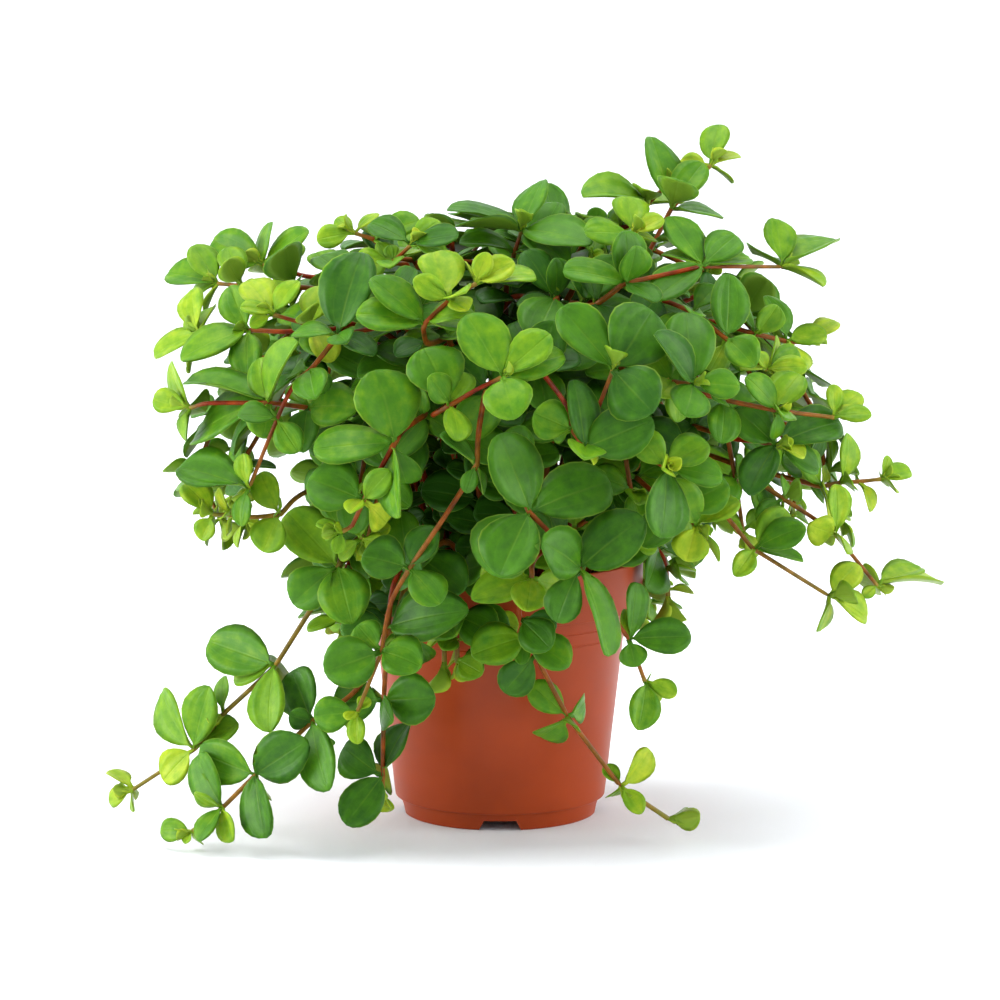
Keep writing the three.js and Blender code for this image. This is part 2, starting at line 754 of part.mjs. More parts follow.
function bladePoint(leaf, part, side, lift = 0) {
  const v = side * halfWidth(leaf, part);
  return leaf.root
    .clone()
    .addScaledVector(leaf.along, part * leaf.length)
    .addScaledVector(leaf.across, v)
    .addScaledVector(leaf.up, bladeLift(leaf, part, v) + lift);
}

const SAMPLE_PARTS = [0.2, 0.32, 0.44, 0.56, 0.68, 0.8, 0.91];
const SAMPLE_SIDES = [-1, -0.66, -0.33, 0, 0.33, 0.66, 1];

function makeLeaf(root, along, up, { length, width, bow, cup, coarse }) {
  const straight = along.clone().normalize();
  const face = sideways(up, straight);
  const leaf = { root, along: straight, up: face, length, width, bow, cup, coarse };
  leaf.across = face.clone().cross(straight);
  leaf.samples = [];
  for (const part of SAMPLE_PARTS) {
    for (const side of SAMPLE_SIDES) leaf.samples.push(bladePoint(leaf, part, side));
  }
  leaf.samples.push(bladePoint(leaf, 1, 0));
  leaf.middle = bladePoint(leaf, 0.5, 0);
  leaf.reach = length * 0.5 + width * 0.35 + 1;
  return leaf;
}

function nearBlade(leaf, point, room) {
  const away = point.clone().sub(leaf.root);
  const part = away.dot(leaf.along) / leaf.length;
  const slack = room / leaf.length;
  if (part < -slack || part > 1 + slack) return false;
  const v = away.dot(leaf.across);
  const inside = clamp(part, 0, 1);
  const half = halfWidth(leaf, inside);
  if (Math.abs(v) > half + room) return false;
  const lift = bladeLift(leaf, inside, clamp(v, -half, half));
  return Math.abs(away.dot(leaf.up) - lift) < room + LEAF_HALF_THICKNESS;
}

function leavesTouch(leaf, other) {
  const room = 0.9 + 0.05 * Math.max(leaf.length, other.length);
  if (leaf.middle.distanceTo(other.middle) > leaf.reach + other.reach + room) return false;
  for (let i = 0; i < leaf.samples.length; i += 1) {
    if (nearBlade(other, leaf.samples[i], room)) return true;
    if (nearBlade(leaf, other.samples[i], room)) return true;
  }
  return false;
}

function potRadiusAt(z) {
  if (z > COLLAR_BOTTOM - 3) return COLLAR_RADIUS;
  return BODY_BOTTOM_RADIUS + ((BODY_TOP_RADIUS - BODY_BOTTOM_RADIUS) * Math.max(z, 0)) / COLLAR_BOTTOM;
}

function hitsPotOrFloor(leaf) {
  return leaf.samples.some((p) => {
    if (p.z < 1.8) return true;
    return p.z < POT_RIM_HEIGHT + 2 && Math.hypot(p.x, p.y) < potRadiusAt(p.z) + 2.2;
  });
}

function hitsOtherStalk(leaf, stem) {
  return stems.some((other) => {
    if (other === stem || other.box.distanceToPoint(leaf.middle) > leaf.reach) return false;
    return other.beads.some(({ centre, radius }) => {
      const reach = leaf.reach + radius + 2;
      return centre.distanceToSquared(leaf.middle) < reach * reach && nearBlade(leaf, centre, radius + 0.7);
    });
  });
}

function fitsOthers(leaf, stem) {
  if (hitsPotOrFloor(leaf) || hitsOtherStalk(leaf, stem)) return false;
  return !stems.some((other) => other !== stem && other.leaves.some((mate) => leavesTouch(leaf, mate)));
}

// ---------------------------------------------------------------- joining a leaf to its stalk
const RIM_PARTS = [0.24, 0.56, 0.86];
const SMALL_LEAF = 13;
const COARSE_RIM_PARTS = [0.34, 0.8];
const BLADE_MIDDLE = 0.54;
const FACET_LOOKS_AWAY = -0.3;
const FARTHEST_LEAF = 60;

// The blade beyond its four root corners, which are numbered: a fan above and one below, alike, that meet
// at the rim. `first` is the number of its first new vertex.
function bladeMesh(leaf, corners, first) {
  const vertices = [];
  const rimParts = leaf.coarse ? COARSE_RIM_PARTS : RIM_PARTS;
  for (const part of rimParts) vertices.push(bladePoint(leaf, part, 1));
  vertices.push(bladePoint(leaf, 1, 0));
  for (const part of [...rimParts].reverse()) vertices.push(bladePoint(leaf, part, -1));
  const rim = vertices.map((_, i) => first + i);
  vertices.push(bladePoint(leaf, BLADE_MIDDLE, 0, LEAF_HALF_THICKNESS));
  vertices.push(bladePoint(leaf, BLADE_MIDDLE, 0, -LEAF_HALF_THICKNESS));
  const top = first + rim.length;
  const bottom = top + 1;
  const [leftAbove, rightAbove, leftBelow, rightBelow] = corners;
  const above = [rightAbove, ...rim, leftAbove];
  const below = [rightBelow, ...rim, leftBelow];
  const last = rim[rim.length - 1];
  const triangles = [
    [rightAbove, leftAbove, top],
    [leftBelow, rightBelow, bottom],
    [rightBelow, rightAbove, rim[0]],
    [leftAbove, leftBelow, last],
  ];
  for (let i = 0; i + 1 < above.length; i += 1) {
    triangles.push([above[i + 1], above[i], top], [below[i], below[i + 1], bottom]);
  }
  return { vertices, triangles };
}

function edgePierces(from, to, [a, b, c]) {
  const along = to.clone().sub(from);
  const ab = b.clone().sub(a);
  const ac = c.clone().sub(a);
  const p = along.clone().cross(ac);
  const scale = ab.dot(p);
  if (Math.abs(scale) < 1e-9) return false;
  const away = from.clone().sub(a);
  const u = away.dot(p) / scale;
  if (u < 0 || u > 1) return false;
  const q = away.cross(ab);
  const v = along.dot(q) / scale;
  if (v < 0 || u + v > 1) return false;
  const t = ac.dot(q) / scale;
  return t > 0 && t < 1;
}

function facesCross(one, two) {
  if (!one.box.intersectsBox(two.box)) return false;
  return [0, 1, 2].some((k) => {
    const next = (k + 1) % 3;
    return (
      edgePierces(one.points[k], one.points[next], two.points) ||
      edgePierces(two.points[k], two.points[next], one.points)
    );
  });
}

// Whether a blade would cross the faces of the stem, but for those of the facet it grows from.
function bladeCrosses(blade, faces, facet) {
  const room = new THREE.Box3().setFromPoints(blade.flatMap(({ points }) => points));
  const isFacet = (face) => face.points.every((point) => facet.includes(point));
  const near = faces.filter((face) => room.intersectsBox(face.box) && !isFacet(face));
  return blade.some((fresh) =>
    near.some((face) => !face.points.some((point) => fresh.points.includes(point)) && facesCross(fresh, face))
  );
}

// The free sides of the leaf's knot, and at the tip its end, that look most the way the leaf grows.
function facetsFor(mesh, leaf) {
  const sides = [...Array(STALK_SIDES).keys()];
  const facets = mesh.knots.get(leaf.root).flatMap((station) => sides.map((k) => facetCorners(station, k)));
  if (leaf.root === mesh.tip.root) facets.push(mesh.tip.corners);
  const looks = (corners) => {
    const [a, b, c] = corners.map((i) => mesh.vertices[i]);
    return b.clone().sub(a).cross(c.clone().sub(a)).normalize().dot(leaf.along);
  };
  return facets
    .filter((corners) => !mesh.taken.has(corners.join()) && looks(corners) > FACET_LOOKS_AWAY)
    .sort((one, two) => looks(two) - looks(one));
}

// The facet's corners as the leaf's own left and right, above and below, with the least twist.
function matchCorners(mesh, leaf, facet) {
  const wanted = [[1, 1], [-1, 1], [-1, -1], [1, -1]].map(([across, up]) =>
    leaf.root.clone().addScaledVector(leaf.across, across).addScaledVector(leaf.up, 0.8 * up)
  );
  const shifts = [0, 1, 2, 3].map((shift) => wanted.map((_, j) => facet[(j + shift) % 4]));
  const twist = (corners) =>
    corners.reduce((sum, corner, j) => sum + mesh.vertices[corner].distanceToSquared(wanted[j]), 0);
  shifts.sort((one, two) => twist(one) - twist(two));
  const [rightAbove, leftAbove, leftBelow, rightBelow] = shifts[0];
  return [leftAbove, rightAbove, leftBelow, rightBelow];
}

function crossesOtherStem(blade, leaf, stem) {
  return stems.some((other) => {
    if (other === stem || other.box.distanceToPoint(leaf.middle) > FARTHEST_LEAF) return false;
    return bladeCrosses(blade, other.mesh.faces, []);
  });
}

// Joins the leaf to the stem's mesh and says true, or leaves the mesh as it is where the leaf would cross it.
function joinLeaf(stem, leaf) {
  const mesh = stem.mesh;
  for (const facet of facetsFor(mesh, leaf)) {
    const blade = bladeMesh(leaf, matchCorners(mesh, leaf, facet), mesh.vertices.length);
    const vertices = [...mesh.vertices, ...blade.vertices];
    const faces = blade.triangles.map((corners) => faceOf(corners, vertices));
    const facetPoints = facet.map((i) => mesh.vertices[i]);
    if (bladeCrosses(faces, mesh.faces, facetPoints) || crossesOtherStem(faces, leaf, stem)) continue;
    mesh.taken.add(facet.join());
    mesh.vertices = vertices;
    mesh.faces = mesh.faces.filter((face) => !face.corners.every((i) => facet.includes(i))).concat(faces);
    return true;
  }
  return false;
}

// ---------------------------------------------------------------- placing the leaves
function placeFirstThatFits(candidates, stem) {
  for (const candidate of candidates) {
    if (fitsOthers(candidate, stem) && joinLeaf(stem, candidate)) {
      stem.leaves.push(candidate);
      return;
    }
  }
}

// ---------------------------------------------------------------- leaves on the front
const LIFTS = [0.18, 0.05, 0.32, -0.08, 0.45, -0.2, 0.6, -0.35, 0.75, -0.5];
const TURNS = [0, 0.3, -0.3, 0.6, -0.6];
const SHRINKS = [1, 0.88, 0.76, 0.66];
const NARROWEST = 0.62;

function* frontLeafChoices(root, tipX, tipZ, seenWidth) {
  const bow = draw(0.0, 0.08);
  const cup = draw(0.12, 0.34);
  const outward = leafOutward(root);
  const foot = seen(tipX, tipZ, root.y);
  const ray = EYE.clone().sub(foot).normalize();
  const flat = foot.clone().sub(root);
  const span = flat.length();
  for (const shrink of SHRINKS) {
    for (const lift of LIFTS) {
      const slide = (lift * span - flat.dot(outward)) / Math.max(ray.dot(outward), 0.45);
      const along = flat.clone().addScaledVector(ray, clamp(slide, -0.7 * span, 0.7 * span));
      const length = along.length();
      along.normalize();
      const facing = sideways(ray, along);
      const width = clamp(seenWidth / 0.93, NARROWEST * length, length);
      const lean = Math.acos(Math.min(1, seenWidth / width));
      const aside = along.clone().cross(facing);
      const wish = outward.clone().multiplyScalar(0.6).addScaledVector(UPWARD, 0.6);
      const toward = aside.dot(wish) > 0 ? 1 : -1;
      for (const turn of TURNS) {
        const angle = toward * lean + turn;
        const up = facing.clone().multiplyScalar(Math.cos(angle)).addScaledVector(aside, Math.sin(angle));
        const size = { length: length * shrink, width: width * shrink, coarse: length < SMALL_LEAF };
        yield makeLeaf(root, along, up, { ...size, bow, cup });
      }
    }
  }
}

// ---------------------------------------------------------------- leaves placed by the rule
const SWINGS = [0, 0.28, -0.28, 0.55, -0.55];
const RULE_LIFTS = [0.22, 0.02, 0.42, -0.16, 0.62];

function* ruleLeafChoices(root, heading, angle, length) {
  const bow = draw(0.0, 0.08);
  const cup = draw(0.12, 0.34);
  const tilt = draw(-0.25, 0.25);
  const outward = leafOutward(root);
  const forward = sideways(heading, outward);
  const aside = outward.clone().cross(forward);
  for (const shrink of SHRINKS) {
    for (const lift of RULE_LIFTS) {
      for (const swing of SWINGS) {
        const along = forward.clone().multiplyScalar(Math.cos(angle + swing));
        along.addScaledVector(aside, Math.sin(angle + swing)).addScaledVector(outward, lift).normalize();
        const up = outward.clone().addScaledVector(UPWARD, 0.4).addScaledVector(aside, tilt);
        const size = { length: length * shrink, width: length * shrink * RULE_LEAF_RATIO, coarse: true };
        yield makeLeaf(root, along, up, { ...size, bow, cup });
      }
    }
  }
}

function placeRuleWhorl(stem, place, heading, size, turn) {
  for (let k = 0; k < RULE_WHORL; k += 1) {
    const angle = turn + (k * 2 * Math.PI) / RULE_WHORL;
    placeFirstThatFits(ruleLeafChoices(stem.rootOf(place), heading, angle, size * draw(0.85, 1.1)), stem);
  }
}

for (const stem of stems) {
  if (stem.whorls) {
    for (const [place, ...leaves] of stem.whorls) {
      const root = stem.rootOf(place);
      for (const [tipX, tipZ, width] of leaves) {
        placeFirstThatFits(frontLeafChoices(root, tipX, tipZ, width), stem);
      }
    }
  } else {
    const last = stem.points.length - 1;
    for (let place = 0; place <= last; place += 1) {
      const next = stem.points[Math.min(place + 1, last)];
      const previous = stem.points[Math.max(place - 1, 0)];
      const heading = next.clone().sub(previous);
      const size = RULE_LEAF_LENGTHS[Math.min(last - place, RULE_LEAF_LENGTHS.length - 1)];
      placeRuleWhorl(stem, place, heading, size, (place % 2) * (Math.PI / 3) + draw(-0.3, 0.3));
    }
  }
}

for (const stem of stems.filter(({ whorls }) => whorls)) {
  const heading = stem.points[0].clone().sub(stem.rootOf(INNER_PLACE));
  placeRuleWhorl(stem, INNER_PLACE, heading, INNER_LEAF_LENGTH, draw(0, 2));
}

// ---------------------------------------------------------------- the pot
function latheSolid(profile, sides) {
  const points = profile.map(([radius, height]) => new THREE.Vector2(radius, height));
  const geometry = new THREE.LatheGeometry([...points, points[0]], sides);
  geometry.rotateX(Math.PI / 2);
  return solidFromGeometry(geometry);
}

function potSolid() {
  const bodyInner = BODY_TOP_RADIUS - WALL;
  const profile = [
    [0, 0],
    [PAD_RADIUS, 0],
    [PAD_RADIUS, FLOOR_UNDERSIDE],
    [FOOT_RADIUS - 4, FLOOR_UNDERSIDE],
    [FOOT_RADIUS - 4, 0],
    [FOOT_RADIUS - 1, 0],
    [FOOT_RADIUS, FOOT_HEIGHT],
    [BODY_BOTTOM_RADIUS, FOOT_HEIGHT + 0.4],
    [BODY_TOP_RADIUS, COLLAR_BOTTOM - 1],
    [COLLAR_RADIUS - 0.6, COLLAR_BOTTOM - 0.6],
    [COLLAR_RADIUS, COLLAR_BOTTOM + 0.6],
    [COLLAR_RADIUS, POT_RIM_HEIGHT - 0.8],
    [COLLAR_RADIUS - 0.8, POT_RIM_HEIGHT],
    [COLLAR_RADIUS - WALL, POT_RIM_HEIGHT - 0.8],
    [COLLAR_RADIUS - WALL - 0.4, COLLAR_BOTTOM + 3],
    [bodyInner, COLLAR_BOTTOM + 1],
    [BODY_BOTTOM_RADIUS - WALL, FLOOR_TOP + 1],
    [BODY_BOTTOM_RADIUS - WALL - 1, FLOOR_TOP],
    [0, FLOOR_TOP],
  ];
  let solid = latheSolid(profile, POT_SIDES);
  for (let i = 0; i < NOTCH.count; i += 1) {
    const shape = new THREE.Shape([
      new THREE.Vector2(-NOTCH.bottom / 2, -1),
      new THREE.Vector2(NOTCH.bottom / 2, -1),
      new THREE.Vector2(NOTCH.top / 2, NOTCH.height),
      new THREE.Vector2(-NOTCH.top / 2, NOTCH.height),
    ]);
    const cutter = new THREE.ExtrudeGeometry(shape, { depth: 12, bevelEnabled: false });
    cutter.rotateX(Math.PI / 2);
    cutter.translate(0, -FOOT_RADIUS + 8, 0);
    cutter.rotateZ((i * 2 * Math.PI) / NOTCH.count);
    solid = solid.subtract(solidFromGeometry(cutter));
  }
  for (let i = 0; i < DRAIN.count; i += 1) {
    const hole = new THREE.CylinderGeometry(DRAIN.radius, DRAIN.radius, FLOOR_TOP + 4, 8);
    hole.rotateX(Math.PI / 2);
    const angle = ((i + 0.5) * 2 * Math.PI) / DRAIN.count;
    hole.translate(DRAIN.ring * Math.cos(angle), DRAIN.ring * Math.sin(angle), FLOOR_TOP);
    solid = solid.subtract(solidFromGeometry(hole));
  }
  return solid;
}

// ---------------------------------------------------------------- the potting mix
// It fills the pot and is heaped a little at its middle, with lumps, and each stalk stands in a plain hole.
const SOIL_RINGS = 3;
const SOIL_SIDES = 20;
const HOLE_SIDES = 4;

function innerRadiusAt(z) {
  const bottom = FLOOR_TOP + 1;
  const part = clamp((z - bottom) / (COLLAR_BOTTOM + 1 - bottom), 0, 1);
  return BODY_BOTTOM_RADIUS - WALL + part * (BODY_TOP_RADIUS - BODY_BOTTOM_RADIUS);
}

function soilSolid() {
  const profile = [
    [0, FLOOR_TOP + FIT_GAP],
    [innerRadiusAt(0) - 1 - 2 * FIT_GAP, FLOOR_TOP + FIT_GAP],
    [innerRadiusAt(0) - 2 * FIT_GAP, FLOOR_TOP + 1 + FIT_GAP],
    [innerRadiusAt(COLLAR_BOTTOM) - 2 * FIT_GAP, COLLAR_BOTTOM + 1],
    [innerRadiusAt(COLLAR_BOTTOM) + 1.5, SOIL_TOP - 2.5],
  ];
  for (let ring = SOIL_RINGS; ring >= 0; ring -= 1) {
    profile.push([(innerRadiusAt(COLLAR_BOTTOM) * ring) / (SOIL_RINGS + 0.6), SOIL_TOP - 0.2 * ring]);
  }
  const points = profile.map(([radius, height]) => new THREE.Vector2(radius, height));
  const geometry = new THREE.LatheGeometry([...points, points[0]], SOIL_SIDES);
  geometry.rotateX(Math.PI / 2);
  const place = geometry.attributes.position;
  for (let i = 0; i < place.count; i += 1) {
    if (place.getZ(i) > SOIL_TOP - 1.2) {
      const x = place.getX(i);
      const y = place.getY(i);
      place.setZ(i, place.getZ(i) + 0.9 * Math.sin(0.31 * x + 1) * Math.cos(0.27 * y));
    }
  }
  let solid = solidFromGeometry(geometry);
  const holes = stems.map(({ root }) => {
    const hole = new THREE.CylinderGeometry(2.4, 2.4, 2 * HOLE_DEPTH, HOLE_SIDES);
    hole.rotateX(Math.PI / 2);
    hole.translate(root.x, root.y, root.z - FIT_GAP + HOLE_DEPTH);
    return solidFromGeometry(hole);
  });
  return solid.subtract(wasm.Manifold.union(holes));
}

// ---------------------------------------------------------------- the assembly
const potPlastic = new THREE.MeshStandardMaterial({ color: 0xc2603f, roughness: 0.45, metalness: 0 });
const pottingMix = new THREE.MeshStandardMaterial({ color: 0x2e2018, roughness: 1, metalness: 0 });

function leafTissue() {
  return new THREE.MeshStandardMaterial({ color: 0x4f8f2f, roughness: 0.4, metalness: 0 });
}

const plant = new THREE.Group();
function addPiece(name, solid, material) {
  const mesh = new THREE.Mesh(geometryOf(solid), material);
  mesh.name = name;
  plant.add(mesh);
}

addPiece("pot", potSolid(), potPlastic);
addPiece("soil", soilSolid(), pottingMix);
for (const { name, mesh } of stems) {
  addPiece(name, solidOf(mesh.vertices, mesh.faces.map(({ corners }) => corners)), leafTissue());
}


export default plant;
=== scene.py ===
import itertools
import json
import random
from math import cos, pi, radians, sin

import bmesh
import bpy
import numpy as np
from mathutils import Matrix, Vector

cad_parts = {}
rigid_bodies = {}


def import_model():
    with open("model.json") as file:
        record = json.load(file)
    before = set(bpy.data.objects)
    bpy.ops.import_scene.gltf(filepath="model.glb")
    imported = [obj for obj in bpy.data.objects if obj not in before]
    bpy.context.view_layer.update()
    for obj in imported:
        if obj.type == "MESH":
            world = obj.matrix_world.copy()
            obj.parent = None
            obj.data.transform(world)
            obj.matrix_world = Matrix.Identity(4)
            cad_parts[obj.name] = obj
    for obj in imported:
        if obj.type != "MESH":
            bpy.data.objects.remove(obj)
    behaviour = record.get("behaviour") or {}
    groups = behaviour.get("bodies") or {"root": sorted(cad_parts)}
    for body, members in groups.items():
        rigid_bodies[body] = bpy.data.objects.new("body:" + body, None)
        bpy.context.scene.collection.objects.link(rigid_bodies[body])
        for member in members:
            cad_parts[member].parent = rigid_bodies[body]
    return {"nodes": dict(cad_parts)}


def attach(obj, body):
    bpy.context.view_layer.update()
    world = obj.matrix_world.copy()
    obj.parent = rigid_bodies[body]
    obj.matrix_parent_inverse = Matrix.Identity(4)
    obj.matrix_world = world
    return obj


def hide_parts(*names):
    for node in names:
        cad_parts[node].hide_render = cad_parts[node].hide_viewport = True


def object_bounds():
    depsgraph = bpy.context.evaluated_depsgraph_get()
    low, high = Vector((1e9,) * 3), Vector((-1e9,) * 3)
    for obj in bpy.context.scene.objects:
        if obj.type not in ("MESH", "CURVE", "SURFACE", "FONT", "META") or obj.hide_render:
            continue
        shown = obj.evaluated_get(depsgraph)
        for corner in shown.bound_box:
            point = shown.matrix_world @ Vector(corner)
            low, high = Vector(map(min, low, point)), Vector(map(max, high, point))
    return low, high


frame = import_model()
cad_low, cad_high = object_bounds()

# ------------------------------ the pot
# A round 12 cm nursery pot, injection-moulded in one piece from terracotta-coloured polypropylene: a thin
# tapering wall, a deep collar, two fine moulding lines under it, and a foot ring with four notches. It
# stands on its foot ring and on the pad in the middle of its floor.
MM = 0.001
POT_SIDES = 160
COLLAR_RADIUS = 60
COLLAR_BOTTOM = 89
RIM_HEIGHT = 109
WALL = 1.8
BODY_TOP_RADIUS = 53.3
BODY_BOTTOM_RADIUS = 44.1
FOOT_RADIUS = 41.5
FOOT_TOP = 7
FLOOR_UNDERSIDE = 5.5
FLOOR_TOP = 8.5
PAD_RADIUS = 12
MOULDING_LINES = (77.4, 82.8)
LINE_DEPTH = 0.35
LINE_HALF_WIDTH = 0.45
NOTCHES = 4
NOTCH_BOTTOM = 18.5
NOTCH_TOP = 13.3
NOTCH_HEIGHT = 4.2
DRAINS = 6
DRAIN_RADIUS = 4
DRAIN_RING = 26
DRAIN_SIDES = 32
FILLET_STEPS = 4
EDGE_KEPT = 0.45
ON_AXIS = 1e-6
NOTCH_INSET = 8
NOTCH_DEPTH = 12
DRAIN_DEPTH = 14
SHARP_EDGE = 38


def body_radius(height):
    share = (height - FOOT_TOP) / (COLLAR_BOTTOM - 1 - FOOT_TOP)
    return BODY_BOTTOM_RADIUS + share * (BODY_TOP_RADIUS - BODY_BOTTOM_RADIUS)


def moulding_line(height):
    """The three corners of one fine groove round the body, from below to above."""
    return [
        (body_radius(height - LINE_HALF_WIDTH), height - LINE_HALF_WIDTH, 0.1),
        (body_radius(height) - LINE_DEPTH, height, 0.15),
        (body_radius(height + LINE_HALF_WIDTH), height + LINE_HALF_WIDTH, 0.1),
    ]


def pot_profile():
    """Corners of half the pot's section as radius, height and fillet, in millimetres."""
    inside = BODY_TOP_RADIUS - WALL
    return [
        (0, 0, 0),
        (PAD_RADIUS, 0, 0.5),
        (PAD_RADIUS, FLOOR_UNDERSIDE, 0.5),
        (FOOT_RADIUS - 4, FLOOR_UNDERSIDE, 0.5),
        (FOOT_RADIUS - 4, 0, 0.4),
        (FOOT_RADIUS - 1, 0, 0.8),
        (FOOT_RADIUS, FOOT_TOP, 0.25),
        (BODY_BOTTOM_RADIUS, FOOT_TOP + 0.5, 0.6),
        *moulding_line(MOULDING_LINES[0]),
        *moulding_line(MOULDING_LINES[1]),
        (BODY_TOP_RADIUS, COLLAR_BOTTOM - 0.6, 0.5),
        (COLLAR_RADIUS - 0.5, COLLAR_BOTTOM - 0.3, 0.5),
        (COLLAR_RADIUS, RIM_HEIGHT, 1.0),
        (COLLAR_RADIUS - WALL, RIM_HEIGHT, 0.7),
        (COLLAR_RADIUS - WALL - 0.4, COLLAR_BOTTOM + 3, 1.0),
        (inside, COLLAR_BOTTOM + 1, 1.0),
        (BODY_BOTTOM_RADIUS - WALL, FLOOR_TOP, 1.0),
        (0, FLOOR_TOP, 0),
    ]


def filleted(corners):
    """The section's points with each corner rounded by its own fillet."""
    points = []
    for i, (radius, height, fillet) in enumerate(corners):
        here = Vector((radius, height))
        if fillet == 0 or i in (0, len(corners) - 1):
            points.append(here)
            continue
        to_before = Vector(corners[i - 1][:2]) - here
        to_after = Vector(corners[i + 1][:2]) - here
        start = here + to_before.normalized() * min(fillet, to_before.length * EDGE_KEPT)
        end = here + to_after.normalized() * min(fillet, to_after.length * EDGE_KEPT)
        for k in range(FILLET_STEPS + 1):
            t = k / FILLET_STEPS
            points.append(start.lerp(here, t).lerp(here.lerp(end, t), t))
    return points


def new_object(name, data):
    made = bpy.data.objects.new(name, data)
    bpy.context.scene.collection.objects.link(made)
    return made


def finished(name, shape):
    """The object of a bmesh, which is freed."""
    mesh = bpy.data.meshes.new(name)
    shape.to_mesh(mesh)
    shape.free()
    return new_object(name, mesh)


def round_section(radius, sides, height=0.0, shift=0.0):
    """The points of a level circle in metres, of a radius and height in millimetres."""
    turns = [2 * pi * (k + shift) / sides for k in range(sides)]
    return [Vector((radius * MM * cos(t), radius * MM * sin(t), height * MM)) for t in turns]


def turned(name, section, sides):
    """A closed solid of revolution whose section starts and ends on the axis."""
    shape = bmesh.new()
    rings = []
    for point in section:
        if point.x < ON_AXIS:
            rings.append([shape.verts.new((0, 0, point.y * MM))] * sides)
        else:
            rings.append([shape.verts.new(place) for place in round_section(point.x, sides, point.y)])
    for lower, upper in zip(rings, rings[1:]):
        for k in range(sides):
            n = (k + 1) % sides
            shape.faces.new(list(dict.fromkeys([lower[k], lower[n], upper[n], upper[k]]))).smooth = True
    return finished(name, shape)


def notch_cutter(angle):
    low, high = NOTCH_BOTTOM / 2, NOTCH_TOP / 2
    corners = [(-low, -1), (low, -1), (high, NOTCH_HEIGHT), (-high, NOTCH_HEIGHT)]
    outline = [Vector((x * MM, 0, z * MM)) for x, z in corners]
    start = Vector((0, -(FOOT_RADIUS - NOTCH_INSET) * MM, 0))
    return prism("notch", outline, start, Vector((0, -NOTCH_DEPTH * MM, 0)), angle)


def drain_cutter(angle):
    outline = round_section(DRAIN_RADIUS, DRAIN_SIDES, shift=0.5)
    start = Vector((DRAIN_RING * MM, 0, -MM))
    return prism("drain", outline, start, Vector((0, 0, DRAIN_DEPTH * MM)), angle)


def prism(name, outline, start, along, angle):
    """A straight prism on an outline, moved to its start and turned about the pot's axis."""
    def turned_point(p):
        x, y = cos(angle), sin(angle)
        return Vector((p.x * x - p.y * y, p.x * y + p.y * x, p.z))

    shape = bmesh.new()
    near = [shape.verts.new(turned_point(p + start)) for p in outline]
    far = [shape.verts.new(turned_point(p + start + along)) for p in outline]
    shape.faces.new(near)
    shape.faces.new(far[::-1])
    for k in range(len(outline)):
        n = (k + 1) % len(outline)
        shape.faces.new([near[n], near[k], far[k], far[n]])
    bmesh.ops.recalc_face_normals(shape, faces=shape.faces)
    return finished(name, shape)


def baked(piece):
    """The piece with its modifiers made part of its mesh."""
    evaluated = piece.evaluated_get(bpy.context.evaluated_depsgraph_get())
    mesh = bpy.data.meshes.new_from_object(evaluated)
    piece.modifiers.clear()
    piece.data = mesh
    return piece


pot = turned("nursery_pot", filleted(pot_profile()), POT_SIDES)
cutters = [notch_cutter(2 * pi * k / NOTCHES) for k in range(NOTCHES)]
cutters += [drain_cutter(2 * pi * (k + 0.5) / DRAINS) for k in range(DRAINS)]
for cutter in cutters:
    cut = pot.modifiers.new("cut", "BOOLEAN")
    cut.object = cutter
    cut.operation = "DIFFERENCE"
    cut.solver = "EXACT"
baked(pot)
for cutter in cutters:
    bpy.data.objects.remove(cutter)
pot.data.shade_smooth()
pot.data.set_sharp_from_angle(angle=radians(SHARP_EDGE))


def linear(hex_colour):
    """An sRGB hex colour such as "c2603f" as linear RGBA."""
    channels = [int(hex_colour[i:i + 2], 16) / 255 for i in (0, 2, 4)]
    return tuple(c / 12.92 if c <= 0.04045 else ((c + 0.055) / 1.055) ** 2.4 for c in channels) + (1.0,)


def add(tree, kind, inputs=(), operation=None, stops=(), **settings):
    """Adds a node with its settings, and the colour stops of a ramp. Its kind is named without its prefix.

    An input is a value, a socket to link from, or a node, whose first output is linked.
    """
    kinds = [prefix + kind for prefix in ("ShaderNode", "GeometryNode", "FunctionNode", "Node")]
    node = tree.nodes.new(next(name for name in kinds if hasattr(bpy.types, name)))
    if operation:
        node.operation = operation
    for name, value in settings.items():
        setattr(node, name, value)
    for number, (place, colour) in enumerate(stops):
        elements = node.color_ramp.elements
        stop = elements[number] if number < 2 else elements.new(place)
        stop.position, stop.color = place, linear(colour)
    for name, value in inputs.items() if isinstance(inputs, dict) else enumerate(inputs):
        if isinstance(value, bpy.types.Node):
            value = value.outputs[0]
        if isinstance(value, bpy.types.NodeSocket):
            tree.links.new(value, node.inputs[name])
        else:
            node.inputs[name].default_value = value
    return node


def new_material(name):
    """A node material with nothing in it, and its tree."""
    material = bpy.data.materials.new(name)
    material.use_nodes = True
    material.node_tree.nodes.clear()
    return material, material.node_tree


